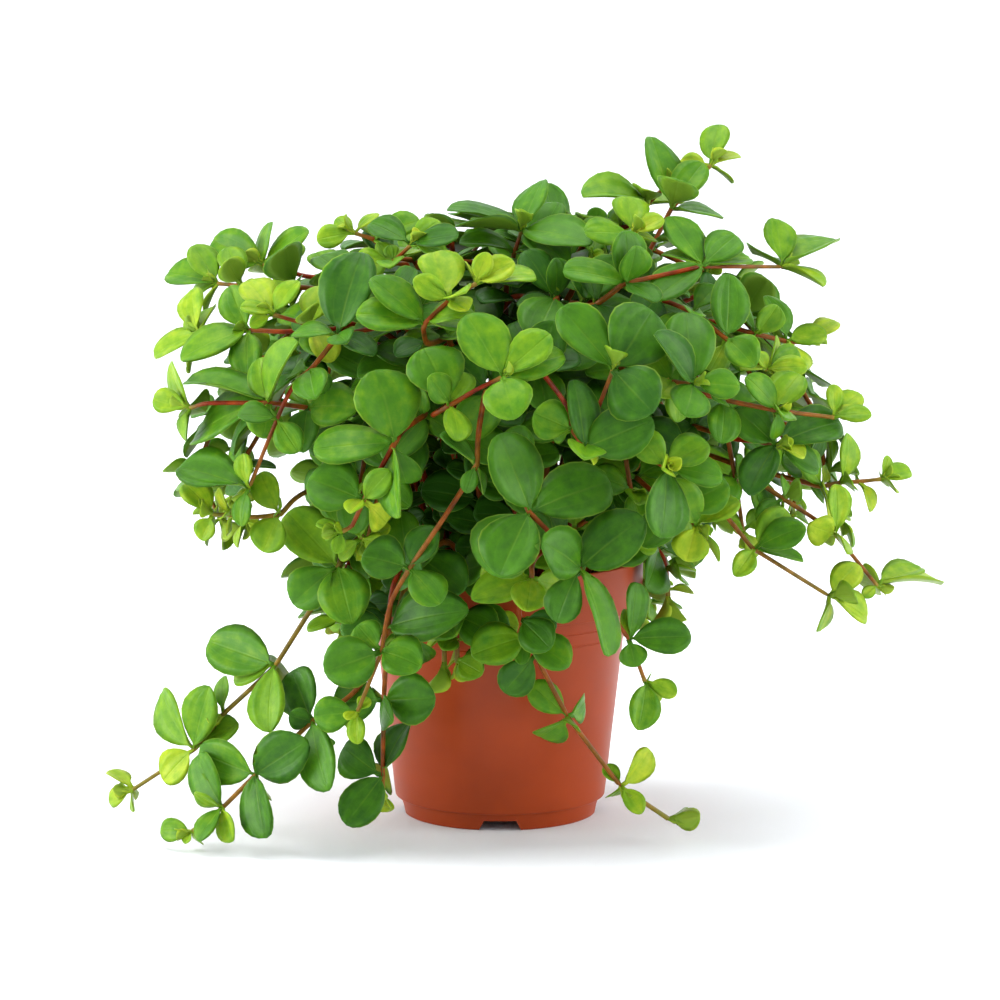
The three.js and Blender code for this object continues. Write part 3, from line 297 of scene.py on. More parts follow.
# Moulded polypropylene: a soft, slightly waxy gloss, a faint mottle from the moulding, and fine dust.
polypropylene, tree = new_material("moulded_polypropylene")
place = add(tree, "TexCoord").outputs["Object"]
mottle = add(tree, "TexNoise", {"Vector": place, "Scale": 1 / (26 * MM), "Detail": 3.0})
colour = add(tree, "ValToRGB", {"Fac": mottle}, stops=[(0.3, "933711"), (0.5, "9a3a12"), (0.7, "a03d13")])
dust = add(tree, "TexNoise", {"Vector": place, "Scale": 1 / (0.7 * MM), "Detail": 2.0})
gloss = add(tree, "MapRange", {
    "Value": mottle, "From Min": 0.3, "From Max": 0.7, "To Min": 0.36, "To Max": 0.46,
})
grain = add(tree, "Bump", {"Height": dust, "Strength": 0.05, "Distance": 0.15 * MM})
plastic = add(tree, "BsdfPrincipled", {
    "Base Color": colour, "Roughness": gloss, "IOR": 1.49, "Specular IOR Level": 0.2,
    "Normal": grain,
})
add(tree, "OutputMaterial", {"Surface": plastic})

pot.data.materials.clear()
pot.data.materials.append(polypropylene)
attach(pot, "root")
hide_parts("pot")

# ------------------------------ the potting mix
# Dark, damp peat that fills the pot to 10 mm under its rim, with crumbs of bark and a few white grains of
# perlite on it. It was filled in loose and lies against the pot's wall.
SOIL_TOP = 99
SOIL_GAP = 0.35
SOIL_RINGS = 26
SOIL_SIDES = 96
LUMP_SIZE = 7
SMALL_LUMP = 4.3
LUMP_HEIGHT = 1.1
HEAP = 0.0006


def soil_height(x, y):
    waves = sin(x / LUMP_SIZE + 1) * cos(y / LUMP_SIZE) + 0.5 * sin((x + 2 * y) / SMALL_LUMP)
    return SOIL_TOP + LUMP_HEIGHT * waves - HEAP * (x * x + y * y)


def soil_body():
    """The mix as a solid of rings, from its middle down. The rings of its top have no one height."""
    edge = BODY_TOP_RADIUS - WALL - SOIL_GAP
    floor = FLOOR_TOP + SOIL_GAP
    shape = bmesh.new()
    rings = [[shape.verts.new((0, 0, soil_height(0, 0) * MM))] * SOIL_SIDES]
    wall = [(edge * (k + 1) / SOIL_RINGS, None) for k in range(SOIL_RINGS)]
    wall += [(edge, COLLAR_BOTTOM + 1), (body_radius(FLOOR_TOP + 1) - WALL - SOIL_GAP, floor)]
    for radius, height in wall:
        ring = []
        for k in range(SOIL_SIDES):
            x = radius * cos(2 * pi * k / SOIL_SIDES)
            y = radius * sin(2 * pi * k / SOIL_SIDES)
            ring.append(shape.verts.new((x * MM, y * MM, (height or soil_height(x, y)) * MM)))
        rings.append(ring)
    rings.append([shape.verts.new((0, 0, floor * MM))] * SOIL_SIDES)
    for upper, lower in zip(rings, rings[1:]):
        for k in range(SOIL_SIDES):
            n = (k + 1) % SOIL_SIDES
            shape.faces.new(list(dict.fromkeys([upper[k], lower[k], lower[n], upper[n]]))).smooth = True
    return finished("potting_mix", shape)


# Crumbs: a Geometry Nodes tree scatters faceted lumps of two sizes over the top of the mix.
CRUMB_SEED = 7
FULL_TURN = 6.28
LUMPS_DEEP = 5


def modifier_tree(name, inputs):
    """A Geometry Nodes tree for a modifier with inputs of those kinds, and the sockets that give them."""
    tree = bpy.data.node_groups.new(name, "GeometryNodeTree")
    tree.is_modifier = True
    for name, kind in {"Geometry": "Geometry", **inputs}.items():
        tree.interface.new_socket(name, in_out="INPUT", socket_type="NodeSocket" + kind)
    tree.interface.new_socket("Geometry", in_out="OUTPUT", socket_type="NodeSocketGeometry")
    return tree, add(tree, "GroupInput").outputs


def crumb_tree(material):
    names = ("Density", "Smallest", "Largest", "Lowest")
    tree, given = modifier_tree("crumbs", dict.fromkeys(names, "Float"))
    where = add(tree, "InputPosition")
    height = add(tree, "SeparateXYZ", [where]).outputs["Z"]
    on_top = add(tree, "Math", [height, given["Lowest"]], "GREATER_THAN")
    scattered = add(tree, "DistributePointsOnFaces", {
        "Mesh": given["Geometry"], "Selection": on_top, "Density": given["Density"], "Seed": CRUMB_SEED,
    })
    lump = add(tree, "MeshIcoSphere", {"Radius": 1.0, "Subdivisions": 1})
    turn = add(tree, "RandomValue", {
        "Min": (0, 0, 0), "Max": (FULL_TURN, FULL_TURN, FULL_TURN), "Seed": CRUMB_SEED,
    }, data_type="FLOAT_VECTOR")
    size = add(tree, "RandomValue", {2: given["Smallest"], 3: given["Largest"], "Seed": CRUMB_SEED + 1})
    flat = add(tree, "RandomValue", {
        "Min": (0.6, 0.7, 0.4), "Max": (1.3, 1.1, 0.9), "Seed": CRUMB_SEED + 2,
    }, data_type="FLOAT_VECTOR")
    scale = add(tree, "VectorMath", {0: flat, "Scale": size.outputs[1]}, "SCALE")
    placed = add(tree, "InstanceOnPoints", {
        "Points": scattered, "Instance": lump, "Rotation": turn, "Scale": scale,
    })
    real = add(tree, "RealizeInstances", [placed])
    painted = add(tree, "SetMaterial", {"Geometry": real, "Material": material})
    add(tree, "GroupOutput", [painted])
    return tree


def set_inputs(modifier, values):
    """Sets a Geometry Nodes modifier's inputs by the names its tree gives them."""
    for item in modifier.node_group.interface.items_tree:
        if item.in_out == "INPUT" and item.name in values:
            modifier[item.identifier] = values[item.name]


# Damp peat: almost black brown, crumbly, with no gloss but for a little damp.
peat, tree = new_material("damp_peat")
place = add(tree, "TexCoord").outputs["Object"]
crumble = add(tree, "TexNoise", {"Vector": place, "Scale": 1 / (1.6 * MM), "Detail": 5.0})
colour = add(tree, "ValToRGB", {"Fac": crumble},
             stops=[(0.35, "1a110b"), (0.55, "2e2018"), (0.72, "4a3424")])
rough = add(tree, "Bump", {"Height": crumble, "Strength": 0.9, "Distance": 1.2 * MM})
mix = add(tree, "BsdfPrincipled", {"Base Color": colour, "Roughness": 0.9, "Normal": rough})
add(tree, "OutputMaterial", {"Surface": mix})

# Perlite: matt white volcanic glass, puffed up by heat.
perlite, tree = new_material("expanded_perlite")
place = add(tree, "TexCoord").outputs["Object"]
pores = add(tree, "TexNoise", {"Vector": place, "Scale": 1 / (0.5 * MM), "Detail": 2.0})
colour = add(tree, "ValToRGB", {"Fac": pores}, stops=[(0.3, "b9b4a8"), (0.7, "e9e6dd")])
grain = add(tree, "BsdfPrincipled", {"Base Color": colour, "Roughness": 0.85})
add(tree, "OutputMaterial", {"Surface": grain})

soil = soil_body()
soil.data.materials.append(peat)
for name, material, density, smallest, largest in (
    ("bark_crumbs", peat, 90000, 0.7 * MM, 2.1 * MM),
    ("perlite_grains", perlite, 5000, 0.6 * MM, 1.4 * MM),
):
    crumbs = new_object(name, soil.data.copy())
    scatter = crumbs.modifiers.new("scatter", "NODES")
    scatter.node_group = crumb_tree(material)
    set_inputs(scatter, {
        "Density": density, "Smallest": smallest, "Largest": largest, "Lowest": (SOIL_TOP - LUMPS_DEEP) * MM,
    })
    baked(crumbs)
    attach(crumbs, "root")
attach(soil, "root")
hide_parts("soil")

# ------------------------------ the leafy stems
# Living stems that grow out of the mix and trail over the rim: red-brown, fleshy stalks with swollen knots,
# each with a whorl of thick, round, waxy leaves on short stems of their own. Each keeps the form of its CAD
# node, because its leaves and its stalk's line are found again in a copy of that node's mesh.
MERGE = 0.004 * MM
HUB_NEIGHBOURS = (7, 9)
STALK_SIDES = 4
ROOTS_WITHIN = 50
BLADE_MIDDLE = 0.54
BLADE_THICKNESS = 1.6
THICKNESS_ERROR = 0.05
RIM_PARTS = {7: (0.24, 0.56, 0.86), 5: (0.34, 0.8)}
PETIOLE = 2.5


def petiole_share(length):
    return min(max(PETIOLE / length, 0.06), 0.2)


def solid_half(blade_part):
    """Half the width of the CAD's blades at a part of their length, where 1 is half the widest."""
    return sin(pi * blade_part ** 0.85) ** 0.6


def merged_copy(node):
    shape = bmesh.new()
    shape.from_mesh(node.data)
    bmesh.ops.remove_doubles(shape, verts=shape.verts, dist=MERGE)
    shape.verts.ensure_lookup_table()
    shape.verts.index_update()
    points = [v.co / MM for v in shape.verts]
    near = [{e.other_vert(v).index for e in v.link_edges} for v in shape.verts]
    shape.free()
    return points, near


def rim_in_order(rim, near):
    """The rim's vertices from one end of their chain to the other."""
    ends = [v for v in rim if len(near[v] & rim) == 1]
    chain = [ends[0]]
    while len(chain) < len(rim):
        chain.append(next(v for v in near[chain[-1]] & rim if v not in chain))
    return chain


def leaf_from(points, near, top, bottom, rim):
    """One leaf of the CAD mesh, as its place, its axes and its measures in millimetres."""
    chain = rim_in_order(rim, near)
    tip = points[chain[len(chain) // 2]]
    parts = RIM_PARTS[len(chain)]
    pairs = [(part, points[chain[i]], points[chain[-1 - i]]) for i, part in enumerate(parts)]
    up = (points[top] - points[bottom]).normalized()
    part, one, other = min(pairs, key=lambda pair: abs(pair[0] - BLADE_MIDDLE))
    middle = (points[top] + points[bottom]) / 2
    if ((one + other) / 2 - middle).dot(up) < 0:
        up = -up
    to_tip = tip - (one + other) / 2
    to_tip -= up * to_tip.dot(up)
    length = to_tip.length / (1 - part)
    along = to_tip.normalized()
    root = tip - along * length
    share = petiole_share(length)
    half = (one - other).length / 2
    width = 2 * half / solid_half((part - share) / (1 - share))
    bow = (middle - root).dot(up) / (4 * length * BLADE_MIDDLE * (1 - BLADE_MIDDLE))
    lift = ((one + other) / 2 - root).dot(up) - 4 * bow * length * part * (1 - part)
    return {"root": root, "along": along, "up": up, "length": length, "width": width, "bow": bow,
            "cup": lift * (width / 2) / (half * half)}


def stem_parts(node):
    """The leaves and the stalk's stations, as centre and radius from the mix to the tip, of a CAD stem."""
    points, near = merged_copy(node)
    leaves = []
    blade = set()
    for top in range(len(points)):
        if len(near[top]) not in HUB_NEIGHBOURS:
            continue
        for bottom in {w for v in near[top] for w in near[v]} - near[top] - {top}:
            rim = near[top] & near[bottom]
            thick = (points[top] - points[bottom]).length
            if bottom > top and len(rim) in RIM_PARTS and abs(thick - BLADE_THICKNESS) < THICKNESS_ERROR:
                leaves.append(leaf_from(points, near, top, bottom, rim))
                blade |= rim | {top, bottom}
    stalk = set(range(len(points))) - blade
    inside = [v for v in stalk if points[v].xy.length < ROOTS_WITHIN]
    layer = set(sorted(inside, key=lambda v: points[v].z)[:STALK_SIDES])
    stations = []
    seen = set()
    while layer:
        seen |= layer
        centre = sum((points[v] for v in layer), Vector()) / len(layer)
        stations.append((centre, sum((points[v] - centre).length for v in layer) / len(layer)))
        layer = {w for v in layer for w in near[v] & stalk} - seen
    return leaves, stations


stems = {}
for name, node in sorted(frame["nodes"].items()):
    if name.startswith("stem_"):
        stems[name] = stem_parts(node)

# One leaf in the middle of the front lies over its own stalk, so it leans further forward than in the CAD.
FRONT_WHORL = Vector((31.3, -118.0, 122.8))
LEAN = Vector((0, -0.75, 0))
LEANING_LENGTH = 1.2
for leaf in stems["stem_centre_front"][0]:
    if (leaf["root"] - FRONT_WHORL).length < 1 and leaf["along"].x < -0.6:
        leaf["length"] *= LEANING_LENGTH
        leaf["along"] = (leaf["along"] + LEAN).normalized()
        leaf["up"] = (leaf["up"] - leaf["along"] * leaf["up"].dot(leaf["along"])).normalized()

# What is in place already is kept as points on every stalk and blade, sorted into cells, so that each leaf
# that is turned or added after it keeps clear of every other leaf and stalk, and of the pot.
CELL = 3.2
CLEAR = 2.3
SAMPLE_PARTS = (0.34, 0.46, 0.58, 0.7, 0.82, 0.94)
SAMPLE_SIDES = (-0.95, -0.62, -0.3, 0.0, 0.3, 0.62, 0.95)
LOWEST_POINT = 2
BOX_MARGIN = 0.7
RIM_ROOM = 1.5
WALL_ZONE = 8
POT_ROOM = 1.6
MIX_ROOM = 2.5
NEW_BOW = 0.03
crowd = {}


def blade_point(leaf, part, side):
    widest = leaf["width"] / 2
    out = side * (widest * min(sin(pi * min(part, 0.97)) ** 0.5, 1))
    lift = 4 * leaf["bow"] * leaf["length"] * part * (1 - part) + leaf["cup"] * out ** 2 / widest
    across = leaf["up"].cross(leaf["along"])
    return leaf["root"] + leaf["along"] * (leaf["length"] * part) + across * out + leaf["up"] * lift


def blade_samples(leaf):
    return [blade_point(leaf, part, side) for part in SAMPLE_PARTS for side in SAMPLE_SIDES]


def cell_of(point):
    return tuple(int(c // CELL) for c in point)


def crowd_in(points, owner=None):
    for point in points:
        crowd.setdefault(cell_of(point), []).append((point, owner))


def is_clear(points, room=CLEAR, owner=0):
    """Whether the points keep that far from all that is placed, apart from their owner's own points."""
    for point in points:
        for cell in itertools.product(*((c - 1, c, c + 1) for c in cell_of(point))):
            for other, whose in crowd.get(cell, ()):
                if whose != owner and (other - point).length_squared < room * room:
                    return False
    return True


def is_allowed(points):
    """Whether the points keep clear of the pot and the floor and stay in the CAD part's own box."""
    for point in points:
        for low, place, high in zip(cad_low, point, cad_high):
            if not low / MM + BOX_MARGIN < place < high / MM - BOX_MARGIN:
                return False
        radius = point.xy.length
        if point.z < RIM_HEIGHT + RIM_ROOM and BODY_BOTTOM_RADIUS - WALL_ZONE < radius:
            wall = COLLAR_RADIUS if point.z > COLLAR_BOTTOM - 2 else body_radius(point.z)
            if radius < wall + POT_ROOM:
                return False
        elif point.z < SOIL_TOP + MIX_ROOM and radius < COLLAR_RADIUS:
            return False
        if point.z < LOWEST_POINT:
            return False
    return True


def walk(stations, step):
    """Points and directions every step along a stalk, from its root to its tip, with the way still to go."""
    centres = [centre for centre, _ in stations]
    total = sum((b - a).length for a, b in zip(centres, centres[1:]))
    gone = 0
    for a, b in zip(centres, centres[1:]):
        length = (b - a).length
        while gone <= length:
            yield a.lerp(b, gone / length), (b - a).normalized(), total - gone
            gone += step
        gone -= length
        total -= length


def new_leaf(root, along, face, length, width, cup, **more):
    along = along.normalized()
    up = (face - along * face.dot(along)).normalized()
    return {"root": root, "along": along, "up": up, "length": length, "width": width, "bow": NEW_BOW,
            "cup": cup, **more}


def square_to(axis, angle):
    """The direction square to an axis, at an angle round it."""
    side = axis.orthogonal().normalized()
    return side * cos(angle) + axis.cross(side) * sin(angle)


def joins(leaves, leaf):
    """Adds a leaf to its stem where it has room, and says whether it did."""
    points = blade_samples(leaf)
    if not (is_allowed(points) and is_clear(points)):
        return False
    leaves.append(leaf)
    crowd_in(points)
    return True


BEAD_STEP = 2
for leaves, stations in stems.values():
    crowd_in([point for point, _, _ in walk(stations, BEAD_STEP)])
    for leaf in leaves:
        crowd_in(blade_samples(leaf), id(leaf))

# Leaves turn their faces to the light: one that stands nearly edge-on to it rolls about its own midrib, as
# far as its neighbours leave room.
CROWN_HEART = Vector((0, 0, 118))
SKYWARD = Vector((0, 0, 0.3))
FACING = 0.7
ROLLS = (1.2, 0.8, 0.5, 0.25)
ROLL_CLEAR = 1.4
for leaves, stations in stems.values():
    for leaf in leaves:
        light = (leaf["root"] - CROWN_HEART).normalized() + SKYWARD
        if leaf["up"].dot(light) > FACING:
            continue
        for roll in ROLLS:
            up = leaf["up"] + light * roll
            rolled = {**leaf, "up": (up - leaf["along"] * up.dot(leaf["along"])).normalized()}
            points = blade_samples(rolled)
            if is_allowed(points) and is_clear(points, ROLL_CLEAR, id(leaf)):
                leaf.update(rolled)
                crowd_in(points, id(leaf))
                break

# Inner leaves: the stalks bear whorls all the way down, which stand in the shade between the stalks. A seeded
# rule tries leaves of three sizes in turn round each bare place, until a whorl is full.
# Their colour further on is the deep green of old leaves, darkened past the oldest outer leaves as painted
# shade.
INNER_SEED = 5
INNER_STEP = 5.5
INNER_SPIN = 1.1
INNER_RADIUS = 92
LOWEST_INNER = 80
INNER_RULE = {"tries": 9, "step": 0.698, "lengths": (18, 26), "shrinks": (1, 0.82, 0.66),
              "widths": (0.74, 0.92)}
INNER_FACE = Vector((0, -0.2, 0.45))
BACKWARD = -0.35
BACKS_FROM = 6
BARE = 7.5
TIP_KEPT_FREE = 14
WHORL = 3
CUPS = (0.14, 0.3)


def add_whorl(leaves, root, axis, outward, spin, lean, tries, step, lengths, shrinks, widths,
              room=WHORL, size=1, backs_from=0, **more):
    """Tries a leaf every step in radians round a stalk until the whorl is full. Lean gives it its way."""
    for turn in range(tries):
        heading = square_to(axis, spin + turn * step)
        if room <= 0 or turn < backs_from and heading.dot(outward) < BACKWARD:
            continue
        length = size * dice.uniform(*lengths) * shrinks[turn % 3]
        leaf = new_leaf(root, lean(heading), outward, length, length * dice.uniform(*widths),
                        dice.uniform(*CUPS), **more)
        room -= joins(leaves, leaf)


dice = random.Random(INNER_SEED)
for leaves, stations in stems.values():
    spin = FULL_TURN * dice.random()
    for root, axis, left in walk(stations, INNER_STEP):
        radius = root.xy.length
        lowest = LOWEST_INNER if radius > COLLAR_RADIUS + 2 else SOIL_TOP + 4
        if root.z < lowest or radius > INNER_RADIUS or left < TIP_KEPT_FREE:
            continue
        if any((leaf["root"] - root).length < BARE for leaf in leaves):
            continue
        spin += INNER_SPIN
        outward = (root - CROWN_HEART).normalized() + INNER_FACE
        add_whorl(leaves, root, axis, outward, spin,
                  lambda heading: heading + axis * 0.35 + Vector((0, 0, dice.uniform(-0.1, 0.35))),
                  **INNER_RULE, backs_from=BACKS_FROM, inner=True)

# Fuller whorls: a living knot bears three or four leaves, so a knot of the CAD part with fewer gets smaller
# ones wherever there is room between its neighbours.
WHORL_SEED = 17
FULL_WHORL = 4
SAME_KNOT = 4
EXTRA_KNOTS = {"stem_left_arch": (0.78, 0.88)}
EXTRA_KNOT_LEAF = 22
WHORL_FACE = Vector((0, 0, 0.4))
WHORL_RULE = {"tries": 14, "step": 2.4, "lengths": (0.7, 0.95), "shrinks": (1, 0.85, 0.72),
              "widths": (0.76, 0.94)}


def knots_of(leaves):
    """The leaves of a stem by the knot that they grow from."""
    knots = []
    for leaf in leaves:
        for knot in knots:
            if (knot[0]["root"] - leaf["root"]).length < SAME_KNOT:
                knot.append(leaf)
                break
        else:
            knots.append([leaf])
    return knots


def axis_near(stations, root):
    """The way a stalk runs past a point."""
    centres = [centre for centre, _ in stations]
    near = min(range(len(centres)), key=lambda k: (centres[k] - root).length)
    return (centres[min(near + 1, len(centres) - 1)] - centres[max(near - 1, 0)]).normalized()


dice = random.Random(WHORL_SEED)
for name, (leaves, stations) in stems.items():
    knots = []
    for knot in knots_of([leaf for leaf in leaves if "inner" not in leaf]):
        middle = sum((leaf["root"] for leaf in knot), Vector()) / len(knot)
        knots.append((middle, len(knot), sum(leaf["length"] for leaf in knot) / len(knot)))
    line = [point for point, _, _ in walk(stations, BEAD_STEP)]
    knots += [(line[int(part * len(line))], 0, EXTRA_KNOT_LEAF) for part in EXTRA_KNOTS.get(name, ())]
    for root, count, usual in knots:
        axis = axis_near(stations, root)
        outward = (root - CROWN_HEART).normalized() + WHORL_FACE
        add_whorl(leaves, root, axis, outward, FULL_TURN * dice.random(),
                  lambda heading: heading + axis * dice.uniform(0.1, 0.5),
                  **WHORL_RULE, room=FULL_WHORL - count, size=usual)

# Rim shoots: short young stems that rise at the edge of the mix, lean over the rim and hang beside the
# collar. A rule sends one over the rim wherever the longer stems leave room.
SHOOT_SEED = 11
SHOOT_AZIMUTHS = (*range(-158, -80, 9), *range(0, 200, 22))
SHOOT_SHIFTS = (0, 2, -2, 4, -4)
SHOOT_RULE = {"tries": 12, "step": 0.5236, "lengths": (19, 27), "shrinks": (1, 0.84, 0.7),
              "widths": (0.76, 0.92)}
SHOOT_STEP = 9
SHOOT_END = 12
SHOOT_FACE = Vector((0, 0, 0.5))
SHOOT_SPIN = 0.8
SHOOT_RADIUS = 1.25
SHOOT_TAPER = 0.03
END_SIZE = 0.75
FEWEST_LEAVES = 3
shoots = {}


def shoot_line(azimuth, drop, reach):
    """Stations of a shoot over the rim at an azimuth in degrees, which hangs down to a height."""
    turn = radians(azimuth)
    side = [(47, 92), (48, 102), (51.5, 110.5), (57, 115), (63, 114), (66 + reach, 108), (67.5 + reach, 100)]
    side += [(68 + reach, 100 - step) for step in range(8, 101 - drop, 8)]
    places = [Vector((radius * cos(turn), radius * sin(turn), height)) for radius, height in side]
    return [(place, SHOOT_RADIUS - SHOOT_TAPER * k) for k, place in enumerate(places)]


dice = random.Random(SHOOT_SEED)
for number, azimuth in enumerate(SHOOT_AZIMUTHS):
    drop, reach = dice.uniform(74, 96), dice.uniform(0, 4)
    for shift in SHOOT_SHIFTS:
        stations = shoot_line(azimuth + shift, int(drop), reach)
        beads = [point for point, _, _ in walk(stations, BEAD_STEP)]
        if is_clear(beads):
            break
    else:
        continue
    shoots[f"rim_shoot_{number}"] = ([], stations)
    crowd_in(beads)
for leaves, stations in shoots.values():
    spin = FULL_TURN * dice.random()
    for root, axis, left in walk(stations, SHOOT_STEP):
        if root.z < RIM_HEIGHT - 1 and root.xy.length < COLLAR_RADIUS:
            continue
        outward = Vector((root.x, root.y, 0)).normalized() + SHOOT_FACE
        spin += SHOOT_SPIN
        add_whorl(leaves, root, axis, outward, spin, lambda heading: heading + axis * 0.25,
                  **SHOOT_RULE, size=END_SIZE if left < SHOOT_END else 1)
shoots = {name: shoot for name, shoot in shoots.items() if len(shoot[0]) >= FEWEST_LEAVES}

# Young tips: each stem ends in a funnel of small cupped lime leaves round a bud, and here and there a knot
# bears a side bud of two tiny leaves.
TIP_SEED = 23
SIDE_BUDS_FROM = 12
SIDE_BUD_CHANCE = 0.16
TIP_RINGS = ((3, (11, 15), 0.8, True), (2, (7, 9.5), 0.45, False), (2, (4, 5.5), 0.26, False))
RING_SPIN = 1.4
TIP_RISE = Vector((0, 0, 0.45))
BUD_RINGS = ((2, (5, 8), 0.5, False), (2, (3, 4.5), 0.3, False))


def add_bud(leaves, root, lean, rings):
    """Rings of small cupped leaves round a direction, the outer ones larger and more spread."""
    spin = FULL_TURN * dice.random()
    for count, lengths, spread, needs_room in rings:
        for k in range(count):
            heading = square_to(lean, spin + FULL_TURN * k / count)
            length = dice.uniform(*lengths)
            leaf = new_leaf(root, lean + heading * spread, lean * spread - heading, length,
                            length * dice.uniform(0.66, 0.84), dice.uniform(0.35, 0.55), tip=True)
            points = blade_samples(leaf)
            if is_allowed(points) and (not needs_room or is_clear(points)):
                leaves.append(leaf)
        spin += RING_SPIN


dice = random.Random(TIP_SEED)
for name, (leaves, stations) in {**stems, **shoots}.items():
    tip = stations[-1][0]
    axis = (tip - stations[-2][0]).normalized()
    for knot in knots_of([leaf for leaf in leaves if "inner" not in leaf]):
        root = knot[0]["root"]
        if name in stems and (root - tip).length > SIDE_BUDS_FROM and dice.random() < SIDE_BUD_CHANCE:
            outward = (root - CROWN_HEART).normalized()
            add_bud(leaves, root, (outward + axis_near(stations, root) * 0.6).normalized(), BUD_RINGS)
    add_bud(leaves, tip, (axis + TIP_RISE).normalized(), TIP_RINGS)

# A leaf is one blank, laid flat: x runs from its root (0) to its tip (1), y across it and z through it. The
# tree below stands a blank at each leaf's place, sized by the leaf's own attributes, and bends it there.
BLADE_ROWS = 10
BLADE_COLUMNS = (-0.6, 0, 0.6)
PETIOLE_HALF = 0.9
BLANK_SIZES = ((0.075, 30), (0.12, 20), (0.18, 12), (0.2, 6))
BLANK_OUTLINES = ((0.5, 0.5), (0.56, 0.6), (0.6, 0.7))


def outline_half(blade_part, widest_at, taper):
    """Half the width of a living blade, which is widest at a part of its length and ends round."""
    if blade_part < widest_at:
        return sin(pi / 2 * blade_part / widest_at) ** taper
    return max(cos(pi / 2 * (blade_part - widest_at) / (1 - widest_at)), 0) ** 0.5


def blank_leaf(name, share, usual_length, widest_at, taper):
    """A flat leaf whose petiole takes that share of its length. Its mesh keeps each point's place on it."""
    shape = bmesh.new()
    place = shape.verts.layers.float_vector.new("place")
    rows = [0.5 * (1 - cos(pi * k / BLADE_ROWS)) for k in range(BLADE_ROWS)]
    rows = [0.0] + [share + (1 - share) * part for part in rows]
    narrow = PETIOLE_HALF / (usual_length * 0.8 / 2)

    def half(x):
        blade_part = max((x - share) / (1 - share), 0)
        return max(outline_half(blade_part, widest_at, taper), narrow if x < 0.5 else 0)

    def vertex(x, v, side):
        thick = side * (1 - 0.55 * v * v) * (1 if x > share else 1.25)
        made = shape.verts.new((x, v * half(x) / 2, thick / 2))
        made[place] = (x, v, side)
        return made

    def strip(one, other):
        for k in range(len(one) - 1):
            shape.faces.new(list(dict.fromkeys([one[k], other[k], other[k + 1], one[k + 1]])))

    tip = vertex(1.0, 0, 0)
    last = None
    for x in rows:
        rim = [vertex(x, -1, 0), vertex(x, 1, 0)]
        top = [rim[0], *[vertex(x, v, 1) for v in BLADE_COLUMNS], rim[1]]
        under = [rim[0], *[vertex(x, v, -1) for v in BLADE_COLUMNS], rim[1]]
        if last:
            strip(last[0], top)
            strip(under, last[1])
        else:
            shape.faces.new([*top, *under[1:-1][::-1]])
        last = (top, under)
    strip(last[0], [tip] * len(top))
    strip([tip] * len(under), last[1])
    bmesh.ops.recalc_face_normals(shape, faces=shape.faces)
    for face in shape.faces:
        face.smooth = True
    return finished(name, shape)


blanks = bpy.data.collections.new("leaf_blanks")
bpy.context.scene.collection.children.link(blanks)
for size, (share, usual_length) in enumerate(BLANK_SIZES):
    for kind, (widest_at, taper) in enumerate(BLANK_OUTLINES):
        blank = blank_leaf(f"leaf_blank_{size}_{kind}", share, usual_length, widest_at, taper)
        bpy.context.scene.collection.objects.unlink(blank)
        blanks.objects.link(blank)


OWN_ATTRIBUTES = {
    "FLOAT": ("is_leaf", "blank", "bow", "cup", "wave", "phase", "knot", "thickness"),
    "FLOAT_VECTOR": ("along", "up", "size", "place"),
}


